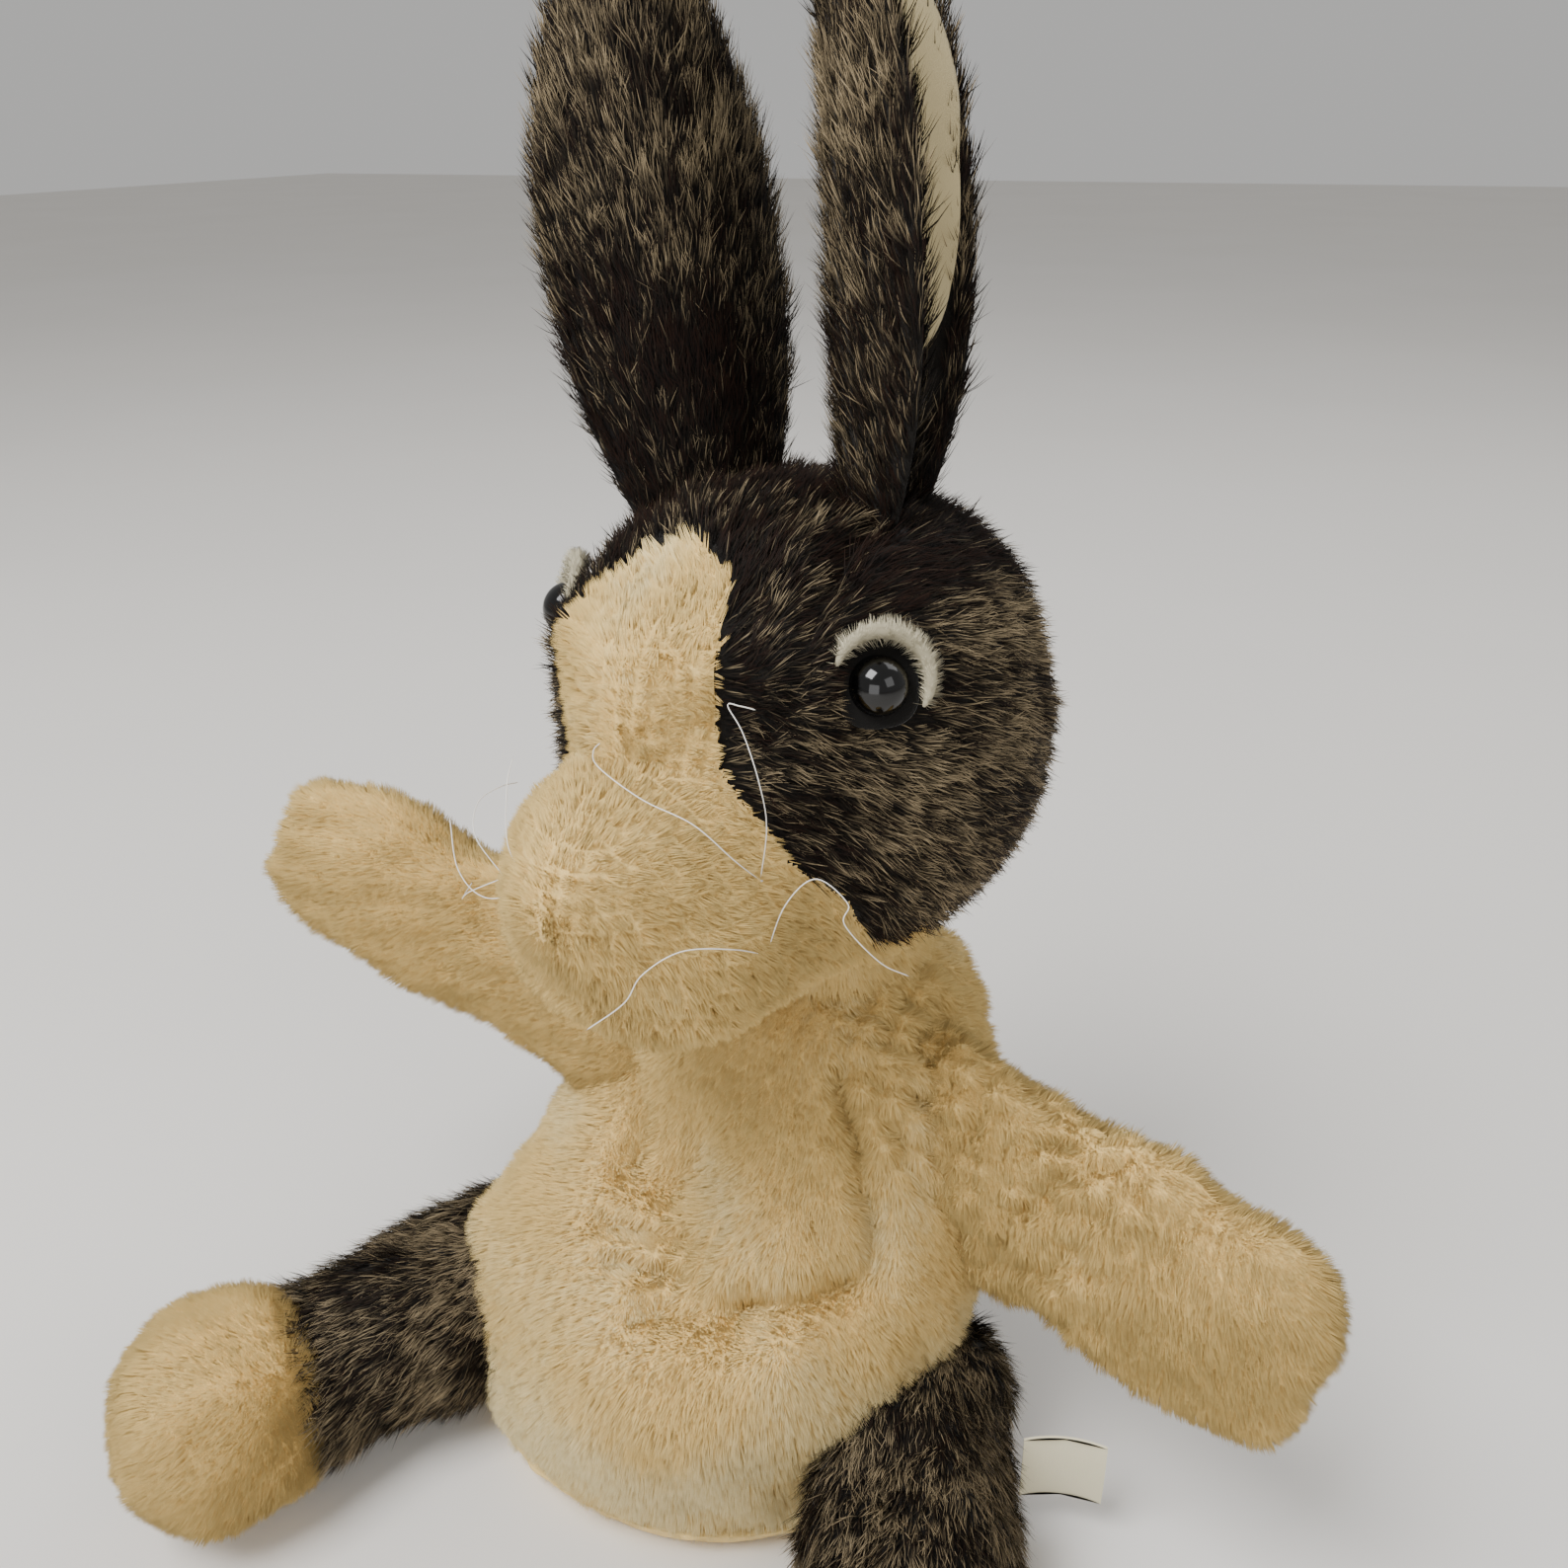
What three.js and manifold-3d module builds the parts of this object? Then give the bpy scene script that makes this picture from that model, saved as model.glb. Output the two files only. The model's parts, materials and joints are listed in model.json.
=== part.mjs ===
// A rabbit hand puppet with a moving mouth, as an assembly of sewn fur panels, linings,
// stuffing and mouth boards. Millimetres, +Z up. The puppet sits on its hand opening at
// Z = 0, faces -Y, and its own left side is +X. It is built about its neck axis, and the
// last lines put the origin in the middle of its footprint.
import * as THREE from "three";
import { mergeVertices } from "three/addons/utils/BufferGeometryUtils.js";
import Module from "manifold-3d";

const wasm = await Module();
wasm.setup();

// Driving dimensions, mm and degrees
const GAP = 0.4; // between neighbouring panels
const FUR = 3; // backing and pile of a fur panel
const CLOTH = 1; // lining cloth
const FAR = 400; // reach of a cutting block
const BODY_HEIGHT = 141;
const BELLY_RADIUS = 69;
const SLOUCH = { x: -22, y: -28 }; // of the belly from the neck axis
const COLLAR_RADIUS = 27;
const HEAD_HEIGHT = 203; // middle of the head above the hand opening
const HEAD_TURN = -8; // the head looks a little to its right
const NOD_HEIGHT = 162;
const SKULL = { x: 54, y: 50, z: 53, back: -8 };
const MUZZLE = { x: 33, y: 34, z: 27, forward: 54, down: 25 };
const MOUTH_LEVEL = -34; // of the closed mouth, from the middle of the head
const JAW_HINGE = -34; // behind the muzzle, from the neck axis
const EYE_RADIUS = 7;
const EAR = { length: 96, width: 62, thick: 7, lining: 1.6 };
const ARM = { root: 24, thick: 12 };
const LEG = { root: 26, reach: 80, foot: 27 };

const rad = THREE.MathUtils.degToRad;
const lerp = THREE.MathUtils.lerp;
const smooth = THREE.MathUtils.smoothstep;
const vec = (x, y, z) => new THREE.Vector3(x, y, z);

// Materials
const cloth = (color, roughness = 0.95) =>
  new THREE.MeshStandardMaterial({ color, roughness, metalness: 0 });
const DARK_FUR = cloth(0x5c4c3e, 1);
const CREAM_FUR = cloth(0xe3cfa6, 1);
const VELOUR = cloth(0xb0a486);
const LINING = cloth(0xd9d2c3);
const STUFFING = cloth(0xf4f2ec, 1);
const MOUTH_CLOTH = cloth(0xb98a7c);
const BOARD = cloth(0x2c2a28, 0.7);
const EYE_BLACK = cloth(0x0a0908, 0.12);
const WASHER = cloth(0xe8e8e4, 0.4);
const NYLON = cloth(0xf0ebe0, 0.35);
const LABEL = cloth(0xece4cc);

const puppet = new THREE.Group();

// The head's group turns about the neck axis; its own origin is in the middle of the head.
const head = new THREE.Group();
head.position.z = HEAD_HEIGHT;
head.rotation.z = rad(HEAD_TURN);
puppet.add(head);

// --- Solids -------------------------------------------------------------------------

// A closed geometry as a solid that can be cut and joined.
function solid(geometry) {
  const bare = geometry.clone();
  bare.deleteAttribute("normal");
  bare.deleteAttribute("uv");
  const merged = mergeVertices(bare, 1e-3);
  return new wasm.Manifold(
    new wasm.Mesh({
      numProp: 3,
      vertProperties: merged.attributes.position.array,
      triVerts: new Uint32Array(merged.index.array),
    }),
  );
}

// A solid as a geometry.
function geometryOf(made) {
  const mesh = made.getMesh();
  const geometry = new THREE.BufferGeometry();
  geometry.setAttribute("position", new THREE.BufferAttribute(mesh.vertProperties, 3));
  geometry.setIndex(new THREE.BufferAttribute(mesh.triVerts, 1));
  geometry.computeVertexNormals();
  return geometry;
}

// Adds one sub-part to a group.
function place(group, name, made, material) {
  const mesh = new THREE.Mesh(geometryOf(made), material);
  mesh.name = name;
  group.add(mesh);
  return mesh;
}

// Moves every vertex of a geometry to change(point).
function warp(geometry, change) {
  const position = geometry.getAttribute("position");
  const point = vec();
  for (let i = 0; i < position.count; i++) {
    point.fromBufferAttribute(position, i);
    position.setXYZ(i, ...change(point).toArray());
  }
  return geometry;
}

// A rectangular block from its lowest and highest corners.
function block(low, high) {
  const size = high.clone().sub(low);
  const middle = low.clone().lerp(high, 0.5);
  return solid(new THREE.BoxGeometry(...size.toArray()).translate(...middle.toArray()));
}

// An ellipsoid whose power over 2 fills it out towards a box.
function ball(radii, centre, power = 2, columns = 20, rows = 12) {
  const round = new THREE.SphereGeometry(1, columns, rows);
  return solid(
    warp(round, (p) => {
      const sum = Math.abs(p.x) ** power + Math.abs(p.y) ** power + Math.abs(p.z) ** power;
      return p.multiplyScalar(sum ** (-1 / power)).multiply(radii).add(centre);
    }),
  );
}

// An outline in the X-Z plane, extruded along Y from front to back.
function frontPrism(points, front, back) {
  const shape = new THREE.Shape(points.map(([x, z]) => new THREE.Vector2(x, z)));
  const extruded = new THREE.ExtrudeGeometry(shape, { depth: back - front, bevelEnabled: false });
  return solid(extruded.rotateX(Math.PI / 2).translate(0, back, 0));
}

// An outline in the Y-Z plane, extruded along X from -half to half.
function sidePrism(points, half) {
  const shape = new THREE.Shape(points.map(([y, z]) => new THREE.Vector2(y, z)));
  const extruded = new THREE.ExtrudeGeometry(shape, { depth: 2 * half, bevelEnabled: false });
  return solid(extruded.translate(0, 0, -half).rotateX(Math.PI / 2).rotateZ(Math.PI / 2));
}

// A round-ended form carried along a path. Its section is an ellipse with half-widths
// across(t) along the side direction and thick(t) along the face direction.
function limb(path, side, across, thick, fullness = 3.5, columns = 12, rows = 8) {
  const round = new THREE.SphereGeometry(1, columns, rows).rotateX(Math.PI / 2);
  return solid(
    warp(round, (p) => {
      const t = (1 + p.z) / 2;
      const flat = Math.hypot(p.x, p.y);
      const end = (1 - Math.abs(p.z) ** fullness) ** (1 / fullness);
      const along = path.getTangent(t);
      const face = along.clone().cross(side).normalize();
      const edge = face.clone().cross(along).normalize();
      const turn = flat > 1e-6 ? end / flat : 0;
      return path
        .getPoint(t)
        .addScaledVector(edge, p.x * turn * across(t))
        .addScaledVector(face, p.y * turn * thick(t));
    }),
  );
}

// A round pin along +Z from its base.
function pin(radius, height, base = 0, sides = 20) {
  const rod = new THREE.CylinderGeometry(radius, radius, height, sides);
  return solid(rod.rotateX(Math.PI / 2).translate(0, 0, base + height / 2));
}

// A washer around +Z.
function ring(inner, outer, low, high, sides = 24) {
  const section = [
    new THREE.Vector2(inner, low),
    new THREE.Vector2(outer, low),
    new THREE.Vector2(outer, high),
    new THREE.Vector2(inner, high),
    new THREE.Vector2(inner, low),
  ];
  return solid(new THREE.LatheGeometry(section, sides).rotateX(Math.PI / 2));
}

// The group's place as a matrix in the frame of a group above it.
function matrixWithin(group, above) {
  puppet.updateMatrixWorld(true);
  return above.matrixWorld.clone().invert().multiply(group.matrixWorld);
}

// A solid of one group, moved into the frame of another above it.
function moved(made, group, above) {
  const geometry = geometryOf(made).applyMatrix4(matrixWithin(group, above));
  return solid(geometry);
}

// --- Body ---------------------------------------------------------------------------

// The body is a bell: round at the collar, wide and deep at the belly.
const BELL = new THREE.SplineCurve([
  new THREE.Vector2(0.84 * BELLY_RADIUS, 0),
  new THREE.Vector2(0.96 * BELLY_RADIUS, 16),
  new THREE.Vector2(BELLY_RADIUS, 42),
  new THREE.Vector2(0.9 * BELLY_RADIUS, 78),
  new THREE.Vector2(0.7 * BELLY_RADIUS, 108),
  new THREE.Vector2(0.52 * BELLY_RADIUS, 130),
  new THREE.Vector2(COLLAR_RADIUS, BODY_HEIGHT),
]);
const BELLY_DEPTH = 0.8;
const BACK_DEPTH = 0.72;

// The share of the bell's curve at which it reaches a height.
function bellShare(z) {
  let low = 0;
  let high = 1;
  for (let i = 0; i < 24; i++) {
    const middle = (low + high) / 2;
    if (BELL.getPoint(middle).y < z) low = middle;
    else high = middle;
  }
  return (low + high) / 2;
}

// The bell's outer radius at a list of heights, drawn inside or outside by inset.
function bellOutline(inset, low, high) {
  const between = BELL.getPoints(7).map((p) => p.y).filter((z) => z > low + 4 && z < high - 4);
  return [low, ...between, high].map((z) => {
    const radius = BELL.getPoint(bellShare(z)).x;
    return new THREE.Vector2(radius - inset, z);
  });
}

// A section turned about the neck axis, then flattened and slouched forward as the bell is.
function bellTurned(section) {
  const lathe = new THREE.LatheGeometry(section, 24).rotateX(Math.PI / 2);
  return solid(
    warp(lathe, (p) => {
      const upright = smooth(p.z, 10, BODY_HEIGHT - 12);
      const depth = p.y < 0 ? BELLY_DEPTH : BACK_DEPTH;
      p.y *= lerp(depth, 1, smooth(p.z, 90, BODY_HEIGHT - 6));
      return p.add(vec(SLOUCH.x, SLOUCH.y, 0).multiplyScalar(1 - upright));
    }),
  );
}

// A wall of the bell between two distances inside its outer face.
function bellWall(outside, inside, low = 0, high = BODY_HEIGHT) {
  const outer = bellOutline(outside, low, high);
  const inner = bellOutline(inside, low, high).reverse();
  return bellTurned([...outer, ...inner, outer[0].clone()]);
}

// The whole bell, grown by a clearance.
function bellBlock(clearance) {
  const outer = bellOutline(-clearance, 0, BODY_HEIGHT);
  return bellTurned([new THREE.Vector2(0, 0), ...outer, new THREE.Vector2(0, BODY_HEIGHT)]);
}

// The room that the body takes up as a limb swings about an axis of its own group.
function bodyRoom(group, axis, angles) {
  const bell = geometryOf(bellBlock(1.2)).applyMatrix4(matrixWithin(puppet, group));
  return angles
    .map((angle) => new THREE.Matrix4().makeRotationAxis(axis, rad(angle)))
    .map((turn) => solid(bell.clone().applyMatrix4(turn)))
    .reduce((sum, turned) => sum.add(turned));
}

const HEM = 7;
const COLLAR = 5;
const SIDE_SEAM = 4; // behind the neck axis at the shoulders, and slouched below them
const YOKE_LEVEL = 96;

const furWall = bellWall(0, FUR, HEM + GAP, BODY_HEIGHT - COLLAR - GAP);
const frontOf = (seam) =>
  sidePrism([[-FAR, 0], [seam + SLOUCH.y, 0], [seam, 120], [seam, FAR], [-FAR, FAR]], FAR);
const front = frontOf(SIDE_SEAM);
const behind = block(vec(-FAR, -FAR, 0), vec(FAR, FAR, FAR)).subtract(frontOf(SIDE_SEAM + GAP));
const above = block(vec(-FAR, -FAR, YOKE_LEVEL + GAP), vec(FAR, FAR, FAR));
const below = block(vec(-FAR, -FAR, -FAR), vec(FAR, FAR, YOKE_LEVEL));

// --- Arms ---------------------------------------------------------------------------

// Each arm is a flat mitt whose root is a disc about the shoulder axis. In the arm's own
// group +X runs along the arm, +Z is its upper edge and Y is the shoulder axis.
const SHOULDERS = {
  right: { at: vec(-46, -10, 104), turn: 198, lift: 29, reach: 102, wide: 1.06, droop: 0, lifts: [-48, 10] },
  left: { at: vec(40, -10, 100), turn: -14, lift: -4, reach: 86, wide: 1.42, droop: -8, lifts: [-24, 38] },
};

const armRooms = [];
for (const [side, arm] of Object.entries(SHOULDERS)) {
  const group = new THREE.Group();
  group.rotation.order = "ZYX";
  group.position.copy(arm.at);
  group.rotation.z = rad(arm.turn);
  group.rotation.y = rad(-arm.lift);
  puppet.add(group);

  const path = new THREE.QuadraticBezierCurve3(
    vec(-ARM.root, 0, 0),
    vec(0.45 * arm.reach, 0, 0),
    vec(arm.reach + 8, 0, arm.droop),
  );
  const across = (t) => ARM.root * lerp(1, arm.wide, smooth(t, 0.25, 0.7));
  const thick = (t) => ARM.thick * lerp(1, 1.1, t);
  const shaped = (wall) =>
    limb(path, vec(0, 0, 1), (t) => across(t) - wall, (t) => thick(t) - wall, 4);
  const steps = [0, 0.2, 0.4, 0.6, 0.8, 1].map((share) => lerp(...arm.lifts, share));
  const disc = solid(new THREE.CylinderGeometry(ARM.root, ARM.root, FAR, 40));
  const clear = block(vec(0, -FAR, -FAR), vec(FAR, FAR, FAR))
    .subtract(bodyRoom(group, vec(0, 1, 0), steps))
    .add(disc)
    .subtract(block(vec(-FAR, -FAR, -FAR), vec(-10, FAR, FAR)));
  place(group, "arm_" + side, shaped(0).subtract(shaped(FUR)).intersect(clear), CREAM_FUR);
  const sleeve = shaped(FUR + GAP).subtract(shaped(FUR + GAP + CLOTH));
  place(group, "arm_sleeve_" + side, sleeve.intersect(clear), LINING);

  const slot = new THREE.CylinderGeometry(ARM.root + 1.2, ARM.root + 1.2, 2 * ARM.thick + 4, 24);
  armRooms.push(moved(solid(slot), group, puppet));
}

// Cuts the arm holes out of a wall of the body.
const withArmHoles = (wall) => armRooms.reduce((left, room) => left.subtract(room), wall);

// --- Legs ---------------------------------------------------------------------------

// Each leg is stuffed, and its root is cut to clear the body over its whole swing. In the
// leg's own group +X runs along the leg.
const HIPS = {
  right: { at: vec(-70, -28, 27.5), turn: -118 },
  left: { at: vec(42, -32, 27.5), turn: -70 },
};
const SWING = [-22, -11, 0, 11, 22];
const FOOT_START = LEG.reach - 4;

const legGroups = {};
for (const [side, hip] of Object.entries(HIPS)) {
  const group = new THREE.Group();
  group.position.copy(hip.at);
  group.rotation.z = rad(hip.turn);
  puppet.add(group);
  legGroups[side] = group;

  const path = new THREE.LineCurve3(vec(-LEG.root, 0, 0), vec(LEG.reach + 30, 0, 0));
  const width = (t) => LEG.root * lerp(1, 0.93, smooth(t, 0.2, 0.7));
  const shaped = (wall) =>
    limb(path, vec(0, 1, 0), (t) => width(t) - wall, (t) => width(t) - wall, 3, 12, 8);
  const room = bodyRoom(group, vec(0, 0, 1), SWING);
  const upTo = (x) => block(vec(-0.6 * LEG.root, -FAR, -FAR), vec(x, FAR, FAR)).subtract(room);
  const skin = shaped(0).subtract(shaped(FUR)).intersect(upTo(FOOT_START - GAP));
  place(group, "leg_" + side, skin, DARK_FUR);
  place(group, "leg_stuffing_" + side, shaped(FUR + GAP).intersect(upTo(FOOT_START - 1)), STUFFING);

  const footMiddle = vec(LEG.reach + 14, 0, 1.8);
  const foot = (wall) =>
    ball(vec(LEG.foot - wall, LEG.foot - wall, LEG.foot - wall), footMiddle, 2.4, 12, 8);
  const from = (x) => block(vec(x, -FAR, -FAR), vec(FAR, FAR, FAR));
  place(group, "foot_" + side, foot(0).subtract(foot(FUR)).intersect(from(FOOT_START)), CREAM_FUR);
  place(group, "foot_stuffing_" + side, foot(FUR + GAP).intersect(from(FOOT_START + 1)), STUFFING);
}

// The label stands out of the left haunch's outer seam.
const LABEL_SIZE = vec(0.8, 20, 20);
const labelLow = vec(6, LEG.root + GAP, -16); // its lowest corner, beside the leg's root
place(legGroups.left, "side_label", block(labelLow, labelLow.clone().add(LABEL_SIZE)), LABEL);

// --- Body panels --------------------------------------------------------------------

place(puppet, "belly_panel", withArmHoles(furWall.intersect(front)), CREAM_FUR);
place(puppet, "shoulder_yoke", withArmHoles(furWall.intersect(behind).intersect(above)), CREAM_FUR);
place(puppet, "back_panel", withArmHoles(furWall.intersect(behind).intersect(below)), DARK_FUR);
const liningFace = FUR + 2 * GAP;
const liningWall = bellWall(liningFace, liningFace + CLOTH, HEM + GAP, BODY_HEIGHT - COLLAR - GAP);
place(puppet, "body_lining", withArmHoles(liningWall), LINING);
place(puppet, "hem_binding", bellWall(0, FUR + GAP + CLOTH, 0, HEM), LINING);
place(puppet, "neck_seam", bellWall(0, FUR + GAP + CLOTH, BODY_HEIGHT - COLLAR, BODY_HEIGHT), CREAM_FUR);

const TAIL = vec(17, 15, 15);
const tailMiddle = vec(SLOUCH.x, SLOUCH.y + BACK_DEPTH * BELLY_RADIUS + TAIL.y + 3, 32);
place(puppet, "tail", ball(TAIL, tailMiddle, 2.2, 14, 10), DARK_FUR);

// --- Neck ---------------------------------------------------------------------------

// The fur sleeve that the head sits on turns with it and stays upright when it nods.
const neck = new THREE.Group();
neck.rotation.z = rad(HEAD_TURN);
puppet.add(neck);
const NECK = { outer: 24, low: BODY_HEIGHT + 0.6, high: NOD_HEIGHT + 4 };
place(neck, "neck_sleeve", ring(NECK.outer - FUR, NECK.outer, NECK.low, NECK.high, 32), CREAM_FUR);
const neckInside = NECK.outer - FUR - GAP;
place(neck, "neck_lining", ring(neckInside - CLOTH, neckInside, NECK.low, NECK.high, 32), LINING);

// --- Head ---------------------------------------------------------------------------

// In the head's own frame the neck axis is Z and the face looks along -Y.
const FULLNESS = 2.3;
const skullMiddle = vec(0, SKULL.back, 0);
const skull = (wall) =>
  ball(vec(SKULL.x - wall, SKULL.y - wall, SKULL.z - wall), skullMiddle, FULLNESS, 18, 12);
const muzzleMiddle = vec(0, -MUZZLE.forward, -MUZZLE.down);
const muzzle = (wall) =>
  ball(vec(MUZZLE.x - wall, MUZZLE.y - wall, MUZZLE.z - wall), muzzleMiddle, 2.25, 16, 10);
const headForm = (wall) => skull(wall).add(muzzle(wall));

// The neck hole, and the room in which the jaw swings down and back.
const NECK_ROOM = NECK.outer + 5;
const neckHole = pin(NECK_ROOM, 60, -90, 32);
const JAW_BACK = 31; // degrees that the room reaches behind the hinge
const roomDepth = 60;
const roomBack = JAW_HINGE + roomDepth * Math.tan(rad(JAW_BACK));
const jawRoom = sidePrism(
  [
    [-FAR, MOUTH_LEVEL],
    [JAW_HINGE + 1, MOUTH_LEVEL],
    [roomBack + 1, MOUTH_LEVEL - roomDepth],
    [-FAR, MOUTH_LEVEL - roomDepth],
  ],
  FAR,
);
const headRoom = neckHole.add(jawRoom);

// Panel outlines in the front view, each drawn inside or outside by grow.
const blazeOutline = (grow) => [
  [-15 - grow, 32],
  [-11 - grow, 41],
  [0, 45 + grow],
  [11 + grow, 41],
  [15 + grow, 32],
  [16 + grow, 6],
  [MUZZLE.x + 3 + grow, -4],
  [MUZZLE.x + 3 + grow, -FAR],
  [-MUZZLE.x - 3 - grow, -FAR],
  [-MUZZLE.x - 3 - grow, -4],
  [-16 - grow, 6],
];
const BLAZE_BACK = -30;
const blazePrism = (grow) => frontPrism(blazeOutline(grow), -FAR, BLAZE_BACK + grow);
const browPrism = (grow) =>
  frontPrism(
    [
      [-17 - grow, 0],
      [-27 - grow, 26],
      [-24 - grow, FAR],
      [24 + grow, FAR],
      [27 + grow, 26],
      [17 + grow, 0],
    ],
    -FAR,
    FAR,
  );
const EAR_SEAM = 4; // the back panel starts here, behind the neck axis
const faceHalf = block(vec(-FAR, -FAR, -FAR), vec(FAR, EAR_SEAM, FAR));
const backHalf = block(vec(-FAR, EAR_SEAM + GAP, -FAR), vec(FAR, FAR, FAR));
const leftHalf = block(vec(GAP, -FAR, -FAR), vec(FAR, FAR, FAR));
const rightHalf = block(vec(-FAR, -FAR, -FAR), vec(-GAP, FAR, FAR));

// The panels of the head's fur wall.
const furOfHead = headForm(0).subtract(headForm(FUR)).subtract(headRoom);

// Where a direction from the middle of the skull meets its outer face, and which way
// that face looks.
function onSkull(direction) {
  const share = vec(direction.x / SKULL.x, direction.y / SKULL.y, direction.z / SKULL.z);
  const powers = share.toArray().map((v) => Math.abs(v) ** FULLNESS);
  const point = direction.clone().multiplyScalar(powers.reduce((a, b) => a + b) ** (-1 / FULLNESS));
  const slope = (v, radius) => (Math.sign(v) * Math.abs(v / radius) ** (FULLNESS - 1)) / radius;
  const normal = vec(slope(point.x, SKULL.x), slope(point.y, SKULL.y), slope(point.z, SKULL.z));
  return { point: point.add(skullMiddle), normal: normal.normalize() };
}

// --- Eyes ---------------------------------------------------------------------------

// In an eye's own group +Z looks out of the head and +Y is up.
const EYE = { stem: 1.6, stemLength: 13, hole: 2.1, dome: 5.5, base: 1.8, washer: 7, backing: 9.5 };
const STEM_FOOT = -10; // the end of the eye's stem, inside the head
const WASHER_SPAN = [-6.8, -5.4];
const BACKING_SPAN = [0.5, 1.4];
const LID = { reach: 11, height: 4.4, thick: 2.3, from: 15, to: 165 };
const eyeHoles = [];
const eyeRooms = [];
for (const [side, sign] of [["right", -1], ["left", 1]]) {
  const { point, normal } = onSkull(vec(sign * 38, -30, 25));
  const group = new THREE.Group();
  group.position.copy(point);
  const across = vec(0, 0, 1).cross(normal).normalize();
  const up = normal.clone().cross(across);
  group.quaternion.setFromRotationMatrix(new THREE.Matrix4().makeBasis(across, up, normal));
  head.add(group);

  const dome = ball(vec(EYE_RADIUS, EYE_RADIUS, EYE.dome), vec(0, 0, EYE.base), 2, 16, 10)
    .intersect(block(vec(-FAR, -FAR, EYE.base), vec(FAR, FAR, FAR)))
    .add(pin(EYE.stem, EYE.stemLength, STEM_FOOT, 12));
  place(group, "eye_" + side, dome, EYE_BLACK);
  place(group, "eye_washer_" + side, ring(EYE.hole, EYE.washer, ...WASHER_SPAN, 16), WASHER);
  place(group, "eye_backing_" + side, ring(EYE.hole, EYE.backing, ...BACKING_SPAN, 20), EYE_BLACK);

  const lidEnds = [LID.from, 90, LID.to].map((angle) =>
    vec(Math.cos(rad(angle)), Math.sin(rad(angle)), 0).multiplyScalar(LID.reach).setZ(LID.height),
  );
  lidEnds[1].setY(2 * LID.reach - lidEnds[0].y);
  const lidPath = new THREE.QuadraticBezierCurve3(...lidEnds);
  const lid = limb(lidPath, vec(0, 0, 1), () => LID.thick, () => LID.thick, 2.6, 8, 8);
  place(group, "eyelid_" + side, lid, CREAM_FUR);

  const stemRoom = (radius) => pin(radius, EYE.stemLength + 1, STEM_FOOT - 1, 16);
  eyeHoles.push(moved(stemRoom(EYE.hole), group, head));
  eyeRooms.push(moved(stemRoom(EYE.washer + 1), group, head));
}
const withEyeHoles = (wall) => eyeHoles.reduce((left, hole) => left.subtract(hole), wall);

// --- Head panels --------------------------------------------------------------------

const blaze = blazePrism(0);
const brow = browPrism(0).subtract(blazePrism(GAP));
const notMiddle = browPrism(GAP).add(blazePrism(GAP));
const faceWall = furOfHead.intersect(faceHalf);
place(head, "blaze_and_muzzle", faceWall.intersect(blaze), CREAM_FUR);
place(head, "brow_panel", faceWall.intersect(brow), DARK_FUR);
const cheeks = withEyeHoles(faceWall.subtract(notMiddle));
place(head, "cheek_left", cheeks.intersect(leftHalf), DARK_FUR);
place(head, "cheek_right", cheeks.intersect(rightHalf), DARK_FUR);
place(head, "head_back", furOfHead.intersect(backHalf), DARK_FUR);

// The mouth's roof: a cloth lining under a stiff board.
const plate = (form, low, high, back) =>
  form.intersect(block(vec(-FAR, -FAR, low), vec(FAR, back, high)));
const mouthForm = (inset) => muzzle(FUR + GAP + inset);
const BOARD_INSET = 3;
const LINING_FACES = [0, 0.9]; // from the mouth's level into the head
const BOARD_FACES = [1.3, 2.8];
const roof = MOUTH_LEVEL;
const upper = ([low, high]) => [roof + low, roof + high, JAW_HINGE];
place(head, "mouth_lining_upper", plate(mouthForm(0), ...upper(LINING_FACES)), MOUTH_CLOTH);
place(head, "mouth_board_upper", plate(mouthForm(BOARD_INSET), ...upper(BOARD_FACES)), BOARD);

// The finger pocket rises from the neck and bends forward over the mouth board.
const POCKET = { round: 18, wide: 20, flat: 8 };
const pocketPath = new THREE.QuadraticBezierCurve3(
  vec(0, -1, -76),
  vec(0, 4, 12),
  vec(0, -76, -17),
);
const pocketForm = (wall) =>
  limb(
    pocketPath,
    vec(1, 0, 0),
    (t) => lerp(POCKET.round, POCKET.wide, t) - wall,
    (t) => lerp(POCKET.round, POCKET.flat, smooth(t, 0.3, 0.8)) - wall,
    4,
  );
const POCKET_FOOT = NOD_HEIGHT + 9 - HEAD_HEIGHT; // clear of the neck sleeve as the head nods
const overNeck = block(vec(-FAR, -FAR, POCKET_FOOT), vec(FAR, FAR, FAR));
place(head, "finger_pocket", pocketForm(0).subtract(pocketForm(CLOTH)).intersect(overNeck), LINING);

const boardRoom = block(vec(-FAR, -FAR, -FAR), vec(FAR, JAW_HINGE + 1, roof + 3.2));
const stuffed = headForm(FUR + GAP)
  .subtract(headRoom)
  .subtract(boardRoom)
  .subtract(pocketForm(-GAP));
place(head, "head_stuffing", eyeRooms.reduce((left, room) => left.subtract(room), stuffed), STUFFING);

const noseMiddle = vec(0, -MUZZLE.forward - MUZZLE.y - 0.9, -19);
place(head, "nose_stitch", ball(vec(2.6, 0.6, 1.8), noseMiddle, 2, 10, 6), MOUTH_CLOTH);

// --- Whiskers -----------------------------------------------------------------------

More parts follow.
